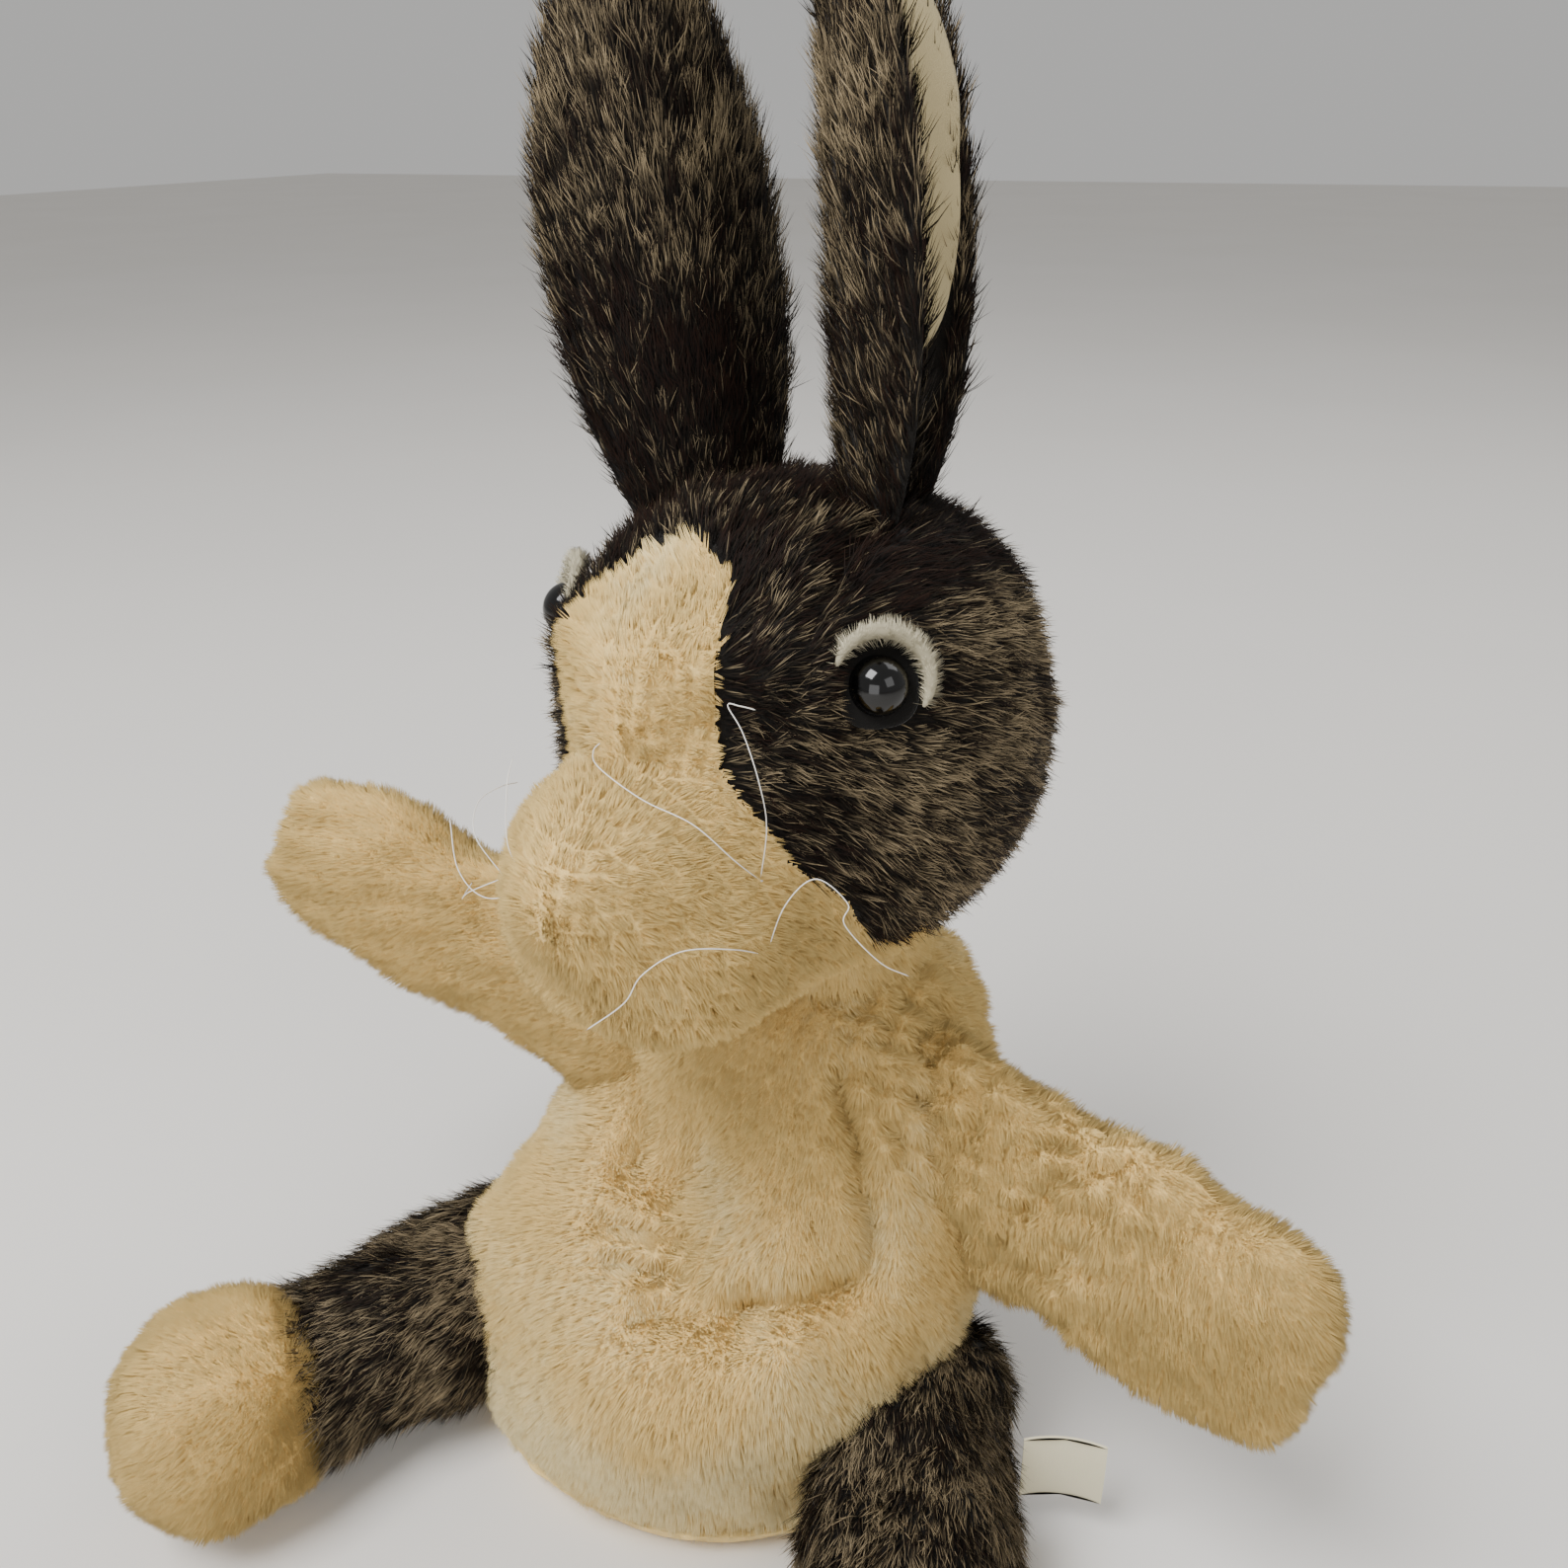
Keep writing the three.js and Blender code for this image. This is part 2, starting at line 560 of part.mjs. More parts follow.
// Each whisker is one nylon thread knotted at its middle, with both ends loose.
const NYLON_RADIUS = 0.35;
const WHISKERS = {
  left_upper: [
    [vec(25, -80, -19), vec(14, -92, -8), vec(0, -95, 4), vec(-14, -92, 14)],
    [vec(25, -80, -19), vec(27, -80, -4), vec(20, -80, 12), vec(12, -76, 26)],
  ],
  left_lower: [
    [vec(22, -83, -30), vec(8, -95, -32), vec(-8, -95, -40), vec(-14, -90, -54)],
    [vec(22, -83, -30), vec(36, -78, -18), vec(44, -68, -22), vec(50, -62, -30)],
  ],
  right_upper: [
    [vec(-25, -80, -19), vec(-34, -76, -8), vec(-36, -70, 6), vec(-30, -66, 18)],
    [vec(-25, -80, -19), vec(-38, -76, -20), vec(-46, -68, -14), vec(-52, -62, -2)],
  ],
  right_lower: [
    [vec(-22, -83, -30), vec(-34, -80, -30), vec(-42, -74, -30), vec(-50, -68, -24)],
    [vec(-22, -83, -30), vec(-30, -84, -38), vec(-36, -82, -44), vec(-40, -78, -48)],
  ],
};
const threadSection = new THREE.Shape(
  [0, 90, 180, 270].map((angle) =>
    new THREE.Vector2(Math.cos(rad(angle)), Math.sin(rad(angle))).multiplyScalar(NYLON_RADIUS),
  ),
);
for (const [name, ends] of Object.entries(WHISKERS)) {
  const threads = ends.map((points) => {
    const extrudePath = new THREE.CatmullRomCurve3(points);
    return solid(new THREE.ExtrudeGeometry(threadSection, { steps: 5, bevelEnabled: false, extrudePath }));
  });
  const knot = ball(vec(0.8, 0.8, 0.8), ends[0][0], 2, 6, 4);
  place(head, "whisker_" + name, knot.add(threads[0]).add(threads[1]), NYLON);
}

// --- Jaw ----------------------------------------------------------------------------

const lip = MOUTH_LEVEL - GAP;
const JAW_BACK_EDGE = JAW_HINGE - 1;
const lower = ([low, high]) => [lip - high, lip - low, JAW_BACK_EDGE];
const jawRegion = block(vec(-FAR, -FAR, -FAR), vec(FAR, JAW_BACK_EDGE, lip));
place(head, "jaw_panel", muzzle(0).subtract(muzzle(FUR)).intersect(jawRegion), CREAM_FUR);
place(head, "mouth_lining_lower", plate(mouthForm(0), ...lower(LINING_FACES)), MOUTH_CLOTH);
place(head, "mouth_board_lower", plate(mouthForm(BOARD_INSET), ...lower(BOARD_FACES)), BOARD);
const THUMB = { wide: 11, thick: 3.9, below: 7.2 };
const thumbPath = new THREE.LineCurve3(vec(0, -14, lip - THUMB.below), vec(0, -60, lip - THUMB.below));
const thumbForm = (wall) =>
  limb(thumbPath, vec(1, 0, 0), () => THUMB.wide - wall, () => THUMB.thick - wall, 4, 10, 8);
const inJaw = jawRegion.intersect(muzzle(FUR + GAP));
place(head, "thumb_pocket", thumbForm(0).subtract(thumbForm(CLOTH)).intersect(inJaw), LINING);

// --- Ears ---------------------------------------------------------------------------

// In an ear's own group +Z runs up the ear, the lining looks along +X, and Y is the
// fold axis at the root. Each ear is a flat leaf, rolled about its length towards the
// lining: first round an arc, then straight on at the angle that the arc has reached.
const EARS = {
  right: { from: vec(-27, 4, 48), face: 135, roll: 30, bend: 60, lean: 3, tilt: -7 },
  left: { from: vec(9, 4, 50), face: 16, roll: 11, bend: 55, lean: -3, tilt: 0 },
};
const EAR_CLEARANCE = 6.5;
const ROLLED_FROM = 30; // height up the ear at which the roll is complete

function rolled(p, roll, bend) {
  const share = smooth(p.z, -4, ROLLED_FROM);
  const radius = roll / Math.max(share, 0.05);
  const angle = Math.min(Math.abs(p.y) / radius, rad(bend) * share);
  const straight = Math.abs(p.y) - radius * angle;
  const inner = radius - p.x;
  const away = inner * Math.sin(angle) + straight * Math.cos(angle);
  return p.set(radius - inner * Math.cos(angle) + straight * Math.sin(angle), Math.sign(p.y) * away, p.z);
}

for (const [side, ear] of Object.entries(EARS)) {
  const { point, normal } = onSkull(ear.from);
  const group = new THREE.Group();
  group.position.copy(point).addScaledVector(normal, EAR_CLEARANCE);
  group.rotation.order = "ZYX";
  group.rotation.z = rad(ear.face);
  group.rotation.y = rad(ear.lean);
  group.rotation.x = rad(ear.tilt);
  head.add(group);

  const bulge = (t) => Math.sin(Math.PI * Math.min(1, 0.15 + t * 0.75));
  const halfWidth = (t) => 0.5 * EAR.width * lerp(0.45, 1, bulge(t));
  const leaf = (low, high, forward, share, thick) => {
    const path = new THREE.LineCurve3(vec(forward, 0, low), vec(forward, 0, high));
    const flat = limb(path, vec(0, 1, 0), (t) => share * halfWidth(t), () => 0.5 * thick, 2.6, 16, 9);
    return solid(warp(geometryOf(flat), (p) => rolled(p, ear.roll, ear.bend)));
  };
  const liningForward = 0.5 * (EAR.thick + EAR.lining) + 2 * GAP;
  place(group, "ear_" + side, leaf(-3.5, EAR.length, 0, 1, EAR.thick), DARK_FUR);
  const lining = leaf(14, EAR.length - 6, liningForward, 0.82, EAR.lining);
  place(group, "ear_lining_" + side, lining, VELOUR);
}

// The origin is in the middle of the footprint, on the surface that the puppet sits on.
const part = new THREE.Group();
part.add(puppet);
const extent = new THREE.Box3().setFromObject(part, true);
const middle = extent.getCenter(vec());
puppet.position.set(-middle.x, -middle.y, 0);

export default part;
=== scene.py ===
"""A rabbit hand puppet with a moving mouth, dressed over its packed frame.

+Z is up, the puppet faces -Y and its own left side is +X. Shapes are worked out in
millimetres in a sub-part's own place, and a Place turns them into metres in the frame.
"""

import json
import math
from dataclasses import dataclass, replace

import bmesh
import bpy
import numpy as np
from mathutils import Matrix, Vector


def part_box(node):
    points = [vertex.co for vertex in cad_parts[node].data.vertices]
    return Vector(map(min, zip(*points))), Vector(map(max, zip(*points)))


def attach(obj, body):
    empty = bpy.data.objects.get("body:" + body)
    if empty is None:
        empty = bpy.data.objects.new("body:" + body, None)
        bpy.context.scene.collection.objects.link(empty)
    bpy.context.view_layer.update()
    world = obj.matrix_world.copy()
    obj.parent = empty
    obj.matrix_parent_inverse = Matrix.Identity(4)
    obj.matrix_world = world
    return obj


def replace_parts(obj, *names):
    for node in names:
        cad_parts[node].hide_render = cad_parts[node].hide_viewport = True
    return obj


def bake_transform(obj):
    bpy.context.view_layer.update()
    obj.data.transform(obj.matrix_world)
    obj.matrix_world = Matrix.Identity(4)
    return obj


bl_info = {
    "name": "Rabbit hand puppet",
    "version": (1, 0, 0),
    "blender": (4, 5, 0),
    "location": "3D View > Sidebar > Puppet",
    "description": "Builds a plush rabbit hand puppet with a moving mouth",
    "category": "Object",
}

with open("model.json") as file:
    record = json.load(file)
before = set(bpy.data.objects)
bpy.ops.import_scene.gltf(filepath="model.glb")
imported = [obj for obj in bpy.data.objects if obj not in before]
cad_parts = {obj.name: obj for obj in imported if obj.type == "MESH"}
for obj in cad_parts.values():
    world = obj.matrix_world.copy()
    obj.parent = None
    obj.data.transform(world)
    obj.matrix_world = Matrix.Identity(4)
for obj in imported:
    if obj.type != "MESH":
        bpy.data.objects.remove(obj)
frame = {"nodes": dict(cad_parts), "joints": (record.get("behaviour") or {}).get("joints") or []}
bpy.context.view_layer.update()

# --- Places -------------------------------------------------------------------------

MM = 0.001
JOINTS = {joint["name"]: joint for joint in frame["joints"]}
SIDES = {"right": -1, "left": 1}


def joint_at(name):
    """Where a joint is in the frame, in metres."""
    return np.array(JOINTS[name]["pos_m"], float)


def joint_axis(name):
    """The way a joint's axis points."""
    return np.array(JOINTS[name]["axis"], float)


def turned(about_z, about_y=0, about_x=0):
    """The turn about X, then Y, then Z, by degrees, as a matrix."""
    z, y, x = (math.radians(angle) for angle in (about_z, about_y, about_x))
    turn_x = [[1, 0, 0], [0, math.cos(x), -math.sin(x)], [0, math.sin(x), math.cos(x)]]
    turn_y = [[math.cos(y), 0, math.sin(y)], [0, 1, 0], [-math.sin(y), 0, math.cos(y)]]
    turn_z = [[math.cos(z), -math.sin(z), 0], [math.sin(z), math.cos(z), 0], [0, 0, 1]]
    return np.array(turn_z) @ np.array(turn_y) @ np.array(turn_x)


class Place:
    """A sub-part's own frame: an origin in metres, and its X, Y and Z as a matrix's columns."""

    def __init__(self, origin, turn):
        self.origin = np.asarray(origin, float)
        self.turn = np.asarray(turn, float)

    def out(self, points):
        """Millimetres here as metres in the frame."""
        return self.origin + np.asarray(points, float) @ self.turn.T * MM

    def inside(self, points):
        """Metres in the frame as millimetres here."""
        return (points - self.origin) @ self.turn / MM

    def way(self, direction):
        """A direction here as a direction in the frame."""
        return np.asarray(direction, float) @ self.turn.T


NECK_AT = joint_at("neck_turn")
NOD_AT = joint_at("neck_nod")
HEAD_ABOVE_NOD = 41
BODY = Place([NECK_AT[0], NECK_AT[1], 0], np.eye(3))
HEAD_TURN = math.degrees(math.atan2(joint_axis("neck_nod")[1], joint_axis("neck_nod")[0]))
HEAD = Place(NOD_AT + [0, 0, HEAD_ABOVE_NOD * MM], turned(HEAD_TURN))
NECK = Place([NECK_AT[0], NECK_AT[1], 0], turned(HEAD_TURN))

# --- Numbers ------------------------------------------------------------------------

WAVES = 10  # that a ripple adds up


def unit(vectors):
    """Vectors at length 1."""
    return vectors / np.maximum(np.linalg.norm(vectors, axis=-1, keepdims=True), 1e-9)


def blend_between(low, high, share):
    return low + (high - low) * share


def smooth(value, start, end):
    """0 before start, 1 after end, and the cubic 3t^2 - 2t^3 between them."""
    t = np.clip((value - start) / (end - start), 0, 1)
    return t * t * (3 - 2 * t)


def hill(value, middle, width):
    """1 at the middle, falling off as a bell curve of that width."""
    return np.exp(-(((value - middle) / width) ** 2))


def ripple(points, size, seed):
    """Smooth values about 0, mostly within 1: waves of about that size, in seeded directions,
    added up."""
    rng = np.random.default_rng(seed)
    total = np.zeros(np.shape(points)[:-1])
    for _ in range(WAVES):
        direction = unit(rng.normal(size=3)) * rng.uniform(0.6, 1.5) * math.tau / size
        total += np.sin(points @ direction + rng.uniform(0, math.tau))
    return total / math.sqrt(WAVES / 2)


def curve_through(knots, share):
    """The Catmull-Rom curve through the knots, at shares from 0 to 1."""
    knots = np.asarray(knots, float)
    padded = np.concatenate([2 * knots[:1] - knots[1:2], knots, 2 * knots[-1:] - knots[-2:-1]])
    spans = len(knots) - 1
    at = np.clip(np.asarray(share, float) * spans, 0, spans - 1e-9)
    first = at.astype(int)
    t = (at - first)[..., None]
    a, b, c, d = (padded[first + step] for step in range(4))
    return 0.5 * (
        2 * b + (c - a) * t + (2 * a - 5 * b + 4 * c - d) * t**2 + (3 * b - a - 3 * c + d) * t**3
    )


def outside(points, centre, radii, power):
    """Nearly how far points are outside an ellipsoid that its power fills out towards a box."""
    own = points - np.asarray(centre, float)
    norm = (np.abs(own / np.asarray(radii, float)) ** power).sum(-1) ** (1 / power)
    return np.linalg.norm(own, axis=-1) * (1 - 1 / np.maximum(norm, 1e-6))


def joined(first, second, reach):
    """The smooth minimum: the lower distance, less a fillet of about that reach where both are
    close."""
    share = np.clip(0.5 + 0.5 * (second - first) / reach, 0, 1)
    return blend_between(second, first, share) - reach * share * (1 - share)


# --- Surfaces -----------------------------------------------------------------------


def put_mesh(name, points, faces, across=None, along=None):
    """A mesh object of equal-sided faces. across and along are a UV for each corner."""
    sides = faces.shape[1]
    mesh = bpy.data.meshes.new(name)
    mesh.vertices.add(len(points))
    mesh.vertices.foreach_set("co", np.ascontiguousarray(points, np.float32).ravel())
    mesh.loops.add(faces.size)
    mesh.loops.foreach_set("vertex_index", np.ascontiguousarray(faces, np.int32).ravel())
    mesh.polygons.add(len(faces))
    mesh.polygons.foreach_set("loop_start", np.arange(0, faces.size, sides, dtype=np.int32))
    if across is not None:
        layer = mesh.uv_layers.new(name=STRAND_UV)
        layer.uv.foreach_set("vector", np.stack([across, along], -1).astype(np.float32).ravel())
    mesh.update(calc_edges=True)
    mesh.shade_smooth()
    piece = bpy.data.objects.new(name, mesh)
    bpy.context.scene.collection.objects.link(piece)
    return piece


def weld(piece):
    """Joins the points that meet at a pole or along a seam, and drops the faces that close up."""
    shell = bmesh.new()
    shell.from_mesh(piece.data)
    bmesh.ops.remove_doubles(shell, verts=shell.verts, dist=1e-6)
    loose = [vertex for vertex in shell.verts if not vertex.link_faces]
    bmesh.ops.delete(shell, geom=loose, context="VERTS")
    shell.to_mesh(piece.data)
    shell.free()
    piece.data.shade_smooth()
    return piece


class Skin:
    """A surface as a grid of points in metres. Columns go round it, and rows go up it."""

    def __init__(self, points, bare=None):
        self.points = points
        self.bare = np.zeros(points.shape[:2]) if bare is None else bare
        across = np.roll(points, -1, axis=1) - np.roll(points, 1, axis=1)
        facing = unit(np.cross(across, np.gradient(points, axis=0)))
        facing[0] = unit(facing[1].mean(0)) if self._closed(0) else facing[0]
        facing[-1] = unit(facing[-2].mean(0)) if self._closed(-1) else facing[-1]
        self.facing = facing

    def _closed(self, row):
        return np.ptp(self.points[row], axis=0).max() < 1e-6

    def _corners(self, grid):
        """The grid's values at each face's four corners, counter-clockwise from outside."""
        after = np.roll(grid, -1, axis=1)
        return grid[:-1], after[:-1], after[1:], grid[1:]

    def moved(self, distance):
        """The surface with each point moved out by its own distance in millimetres."""
        return Skin(self.points + self.facing * np.asarray(distance)[..., None] * MM, self.bare)

    def piece(self, name, keep=None, inwards=False):
        """A mesh of the faces whose middles keep() accepts."""
        rows, columns = self.points.shape[:2]
        index = np.arange(rows * columns).reshape(rows, columns)
        faces = np.stack(self._corners(index), -1).reshape(-1, 4)
        if keep is not None:
            middles = np.mean(self._corners(self.points), axis=0).reshape(-1, 3)
            faces = faces[keep(middles)]
        if inwards:
            faces = faces[:, ::-1]
        return weld(put_mesh(name, self.points.reshape(-1, 3), faces))

    def scatter(self, density, rng, keep=None):
        """Roots spread evenly over the surface at a density per square millimetre, and the way
        each faces."""
        a, b, c, d = self._corners(self.points)
        area = 0.5 * np.linalg.norm(np.cross(c - a, d - b), axis=-1) / MM**2
        total = area.sum()
        count = int(total * density)
        face = rng.choice(area.size, count, p=(area / total).ravel())
        u, v = rng.random((2, count, 1))

        def spread(grid):
            a, b, c, d = (corner.reshape(area.size, -1)[face] for corner in self._corners(grid))
            return blend_between(blend_between(a, b, u), blend_between(d, c, u), v)

        roots = spread(self.points)
        grows = spread(self.bare)[:, 0] < 0.5
        if keep is not None:
            grows &= keep(roots)
        return roots[grows], unit(spread(self.facing))[grows]


def stacked(*parts):
    """Points from their parts, each stretched over the same grid."""
    return np.stack(np.broadcast_arrays(*parts), -1)


def circle(columns):
    """Angles that go once round, as a row."""
    return np.linspace(0, math.tau, columns, endpoint=False)[None, :]


def directions(rows, columns):
    """Directions over a whole ball, from straight down to straight up."""
    tilt = np.linspace(-math.pi / 2, math.pi / 2, rows)[:, None]
    angle = circle(columns)
    return stacked(np.cos(tilt) * np.cos(angle), np.cos(tilt) * np.sin(angle), np.sin(tilt))


def turned_shape(place, radius, low, high, grid):
    """Circles stacked from low to high: at height z the point at angle a is
    radius(z, a)·(cos a, sin a)."""
    rows, columns = grid
    z = np.linspace(low, high, rows)[:, None]
    angle = circle(columns)
    r = radius(z, angle)
    return Skin(place.out(stacked(r * np.cos(angle), r * np.sin(angle), z)))


def carried(place, path, side, across, thick, fullness, grid, change=None, bare=None):
    """A round-ended form along a path. With p from -1 to 1 and t = (1 + p) / 2, the point at
    angle a is path(t) + e·(across(t)·cos a·edge + thick(t)·sin a·face), where
    e = (1 - |p|^fullness)^(1/fullness). change() moves points of the place, and bare() says
    where no fur grows."""
    rows, columns = grid
    p = -np.cos(np.linspace(0, math.pi, rows))[:, None]
    t = (1 + p) / 2
    end = (1 - np.abs(p) ** fullness) ** (1 / fullness)
    angle = circle(columns)
    centre = path(t[:, 0])
    along = unit(np.gradient(centre, axis=0))
    face = unit(np.cross(along, np.asarray(side, float)))
    edge = np.cross(face, along)
    points = (
        centre[:, None]
        + (end * across(t) * np.cos(angle))[..., None] * edge[:, None]
        + (end * thick(t) * np.sin(angle))[..., None] * face[:, None]
    )
    bald = bare(*np.broadcast_arrays(t, angle)) if bare else None
    return Skin(place.out(change(points) if change else points), bald)


def straight(start, end):
    """The path from start to end at even speed."""
    start, end = np.asarray(start, float), np.asarray(end, float)
    return lambda t: blend_between(start, end, np.asarray(t)[..., None])


def bezier(a, b, c):
    """The quadratic path a(1-t)^2 + 2b·t(1-t) + c·t^2."""
    a, b, c = (np.asarray(point, float) for point in (a, b, c))

    def at(t):
        t = np.asarray(t)[..., None]
        return a * (1 - t) ** 2 + 2 * b * t * (1 - t) + c * t**2

    return at


def ball_skin(place, centre, radii, power, grid):
    """An ellipsoid: each direction d at the distance 1 / (sum |d_i / r_i|^power)^(1/power)."""
    way = directions(*grid)
    own = way * np.asarray(radii, float)
    reach = (np.abs(way) ** power).sum(-1, keepdims=True) ** (-1 / power)
    return Skin(place.out(np.asarray(centre, float) + own * reach))


def tube(place, knots, radius, grid):
    """A round thread: the curve through the knots, with a circle of that radius round each
    point, closed at both ends."""
    rows, columns = grid
    centre = curve_through(knots, np.linspace(0, 1, rows))
    along = unit(np.gradient(centre, axis=0))
    first = unit(np.cross(along, OFF_AXIS))
    second = np.cross(along, first)
    angle = circle(columns)[..., None]
    size = np.full(rows, float(radius))
    size[[0, -1]] = 0
    ring = np.cos(angle) * first[:, None] + np.sin(angle) * second[:, None]
    return Skin(place.out(centre[:, None] + ring * size[:, None, None]))


# --- Fur ----------------------------------------------------------------------------

STRAND_UV = "OFBake"  # the map of this name holds each strand's shade and its height along it
STRAND_BAND = 0.006  # half the width of one strand on that map
STRAND_SINK = 0.5  # mm that a root sits below the skin
SOFTNESS = 0.1  # how far a strand's shading leans from the skin's facing towards the strand
TONE_SPAN = (0.02, 0.98)  # the tones that a strand can have
BARE_ROOM = 0.02  # no fur grows where there is less room than this
SHORTEST = 0.35  # the trim of the strands with the least room

# A bent blade's points are its two root corners, its two middle corners and its tip, and a plain
# one's are its root corners and its tip: (triangles, side of each point, height of each point).
BENT_BLADE = ([[0, 1, 2], [0, 2, 3], [3, 2, 4]], [-1, 1, 1, -1, 0], [0, 0, 0.5, 0.5, 1])
PLAIN_BLADE = ([[0, 1, 2]], [-1, 1, 0], [0, 0, 1])


@dataclass
class Pile:
    """How one kind of fur grows, in millimetres and strands per square millimetre."""

    length: float
    width: float
    density: float
    lift: float  # 0 lies flat, and 1 stands straight up
    tuft: float  # across one tuft
    gather: float  # share of the way that tips lean to the middle of their tuft
    stray: float  # how far strands point out of line
    twist: float  # how far blades turn round, in half turns
    mottle: float  # how much the tone changes from tuft to tuft
    bends: bool  # a long blade bends over, and a short one is a single triangle


def cell_value(cells, salt):
    """A fixed random number from 0 to 1 for each whole-numbered cell: the fraction of a large sine."""
    key = np.sin(cells @ np.array([12.9898, 78.233, 37.719]) + salt * 1.7) * 43758.5453
    return key - np.floor(key)


def tufts(roots, pile):
    """The middle of each root's tuft, and five random numbers that the whole tuft shares."""
    cells = np.floor(roots / (pile.tuft * MM))
    shared = np.stack([cell_value(cells, salt) for salt in range(5)], -1)
    return (cells + 0.2 + 0.6 * shared[:, :3]) * pile.tuft * MM, shared


def along_skin(vectors, facing):
    """The part of each vector that lies along the skin."""
    return vectors - facing * (vectors * facing).sum(-1, keepdims=True)


def grow(name, roots, facing, flow, pile, seed, trim, tone):
    """Fur as blades. A blade leaves its root between the facing way and the flow, bends over
    towards the flow, and its tip leans to the middle of its tuft. trim scales each length."""
    rng = np.random.default_rng(seed)
    count = len(roots)
    middles, shared = tufts(roots, pile)
    flat = unit(along_skin(flow, facing))
    toward = along_skin(middles - roots, facing) * pile.gather
    drift = pile.stray * (shared[:, :3] - 0.5 + 0.35 * rng.normal(size=(count, 3)))
    first = unit(facing * pile.lift + flat * (1 - pile.lift) + drift)
    second = unit(facing * pile.lift * 0.6 + flat * (1 - 0.6 * pile.lift) + 1.3 * drift)
    length = pile.length * MM * (0.7 + 0.4 * shared[:, 3] + 0.3 * rng.random(count)) * trim
    half = 0.5 * length[:, None]
    root = roots - facing * STRAND_SINK * MM
    middle = root + first * half + toward * 0.35
    tip = middle + second * half + toward * 0.65
    turn = (rng.random(count)[:, None] - 0.5) * pile.twist * math.pi
    broad = unit(np.cross(first, facing) + 1e-4)
    broad = broad * np.cos(turn) + np.cross(first, broad) * np.sin(turn)
    broad = broad * 0.5 * pile.width * MM * (0.7 + 0.6 * rng.random(count)[:, None])
    shade = tone + pile.mottle * (shared[:, 4] - 0.5 + 0.4 * rng.normal(size=count))
    piece = put_blades(name, (root, middle, tip, broad), np.clip(shade, *TONE_SPAN), pile.bends)
    upright = unit(facing + SOFTNESS * first)
    corners = len(piece.data.vertices) // count
    piece.data.normals_split_custom_set_from_vertices(np.repeat(upright, corners, axis=0))
    return piece


def put_blades(name, curve, shade, bends):
    """A mesh of one blade for each root. Its UVs hold the strand's shade and the height on it."""
    root, middle, tip, broad = curve
    triangles, side, height = (np.array(part) for part in (BENT_BLADE if bends else PLAIN_BLADE))
    lines = [root, root, middle, middle, tip] if bends else [root, root, tip]
    points = np.stack([line + broad * sign for line, sign in zip(lines, side, strict=True)], 1)
    count = len(root)
    faces = (np.arange(count)[:, None, None] * len(side) + triangles[None]).reshape(-1, 3)
    across = (shade[:, None] + STRAND_BAND * side[None])[:, triangles].reshape(-1)
    along = np.broadcast_to(height[triangles], (count, *triangles.shape)).reshape(-1)
    return put_mesh(name, points.reshape(-1, 3), faces, across, along)


def given(value, points):
    """The value itself, or what it gives for the points if it is a function."""
    return value(points) if callable(value) else value


def fur_coat(name, look, surface, pile, seeds, flow, tone=0.5, keep=None, room=None):
    """Fur over a surface where keep() accepts its roots. flow and tone are one for the whole coat
    or functions of the roots, and room() is 0 where no fur grows and 1 where it is full."""
    spread_seed, strand_seed = seeds
    roots, facing = surface.scatter(pile.density, np.random.default_rng(spread_seed), keep)
    trim = 1.0
    if room:
        space = room(roots)
        grows = space > BARE_ROOM
        roots, facing = roots[grows], facing[grows]
        trim = SHORTEST + (1 - SHORTEST) * space[grows]
    coat = grow(name, roots, facing, given(flow, roots), pile, strand_seed, trim, given(tone, roots))
    return dress(coat, look)


def soft_tone(level, change, size, seed):
    """A tone about one level, changing in soft patches."""
    return lambda points: level + change * ripple(points / MM, size, seed)


# --- Shaders ------------------------------------------------------------------------


class Value:
    """One output of a node, with arithmetic that adds Math nodes."""

    def __init__(self, shader, socket):
        self.shader = shader
        self.socket = socket

    def beside(self, output):
        """Another output of the same node."""
        return Value(self.shader, self.socket.node.outputs[output])

    def _maths(self, operation, first, second):
        return self.shader.node("ShaderNodeMath", {"operation": operation}, {0: first, 1: second})

    def __add__(self, other):
        return self._maths("ADD", self, other)

    def __rsub__(self, other):
        return self._maths("SUBTRACT", other, self)

    def __mul__(self, other):
        return self._maths("MULTIPLY", self, other)

    def __pow__(self, other):
        return self._maths("POWER", self, other)

    __radd__ = __add__
    __rmul__ = __mul__


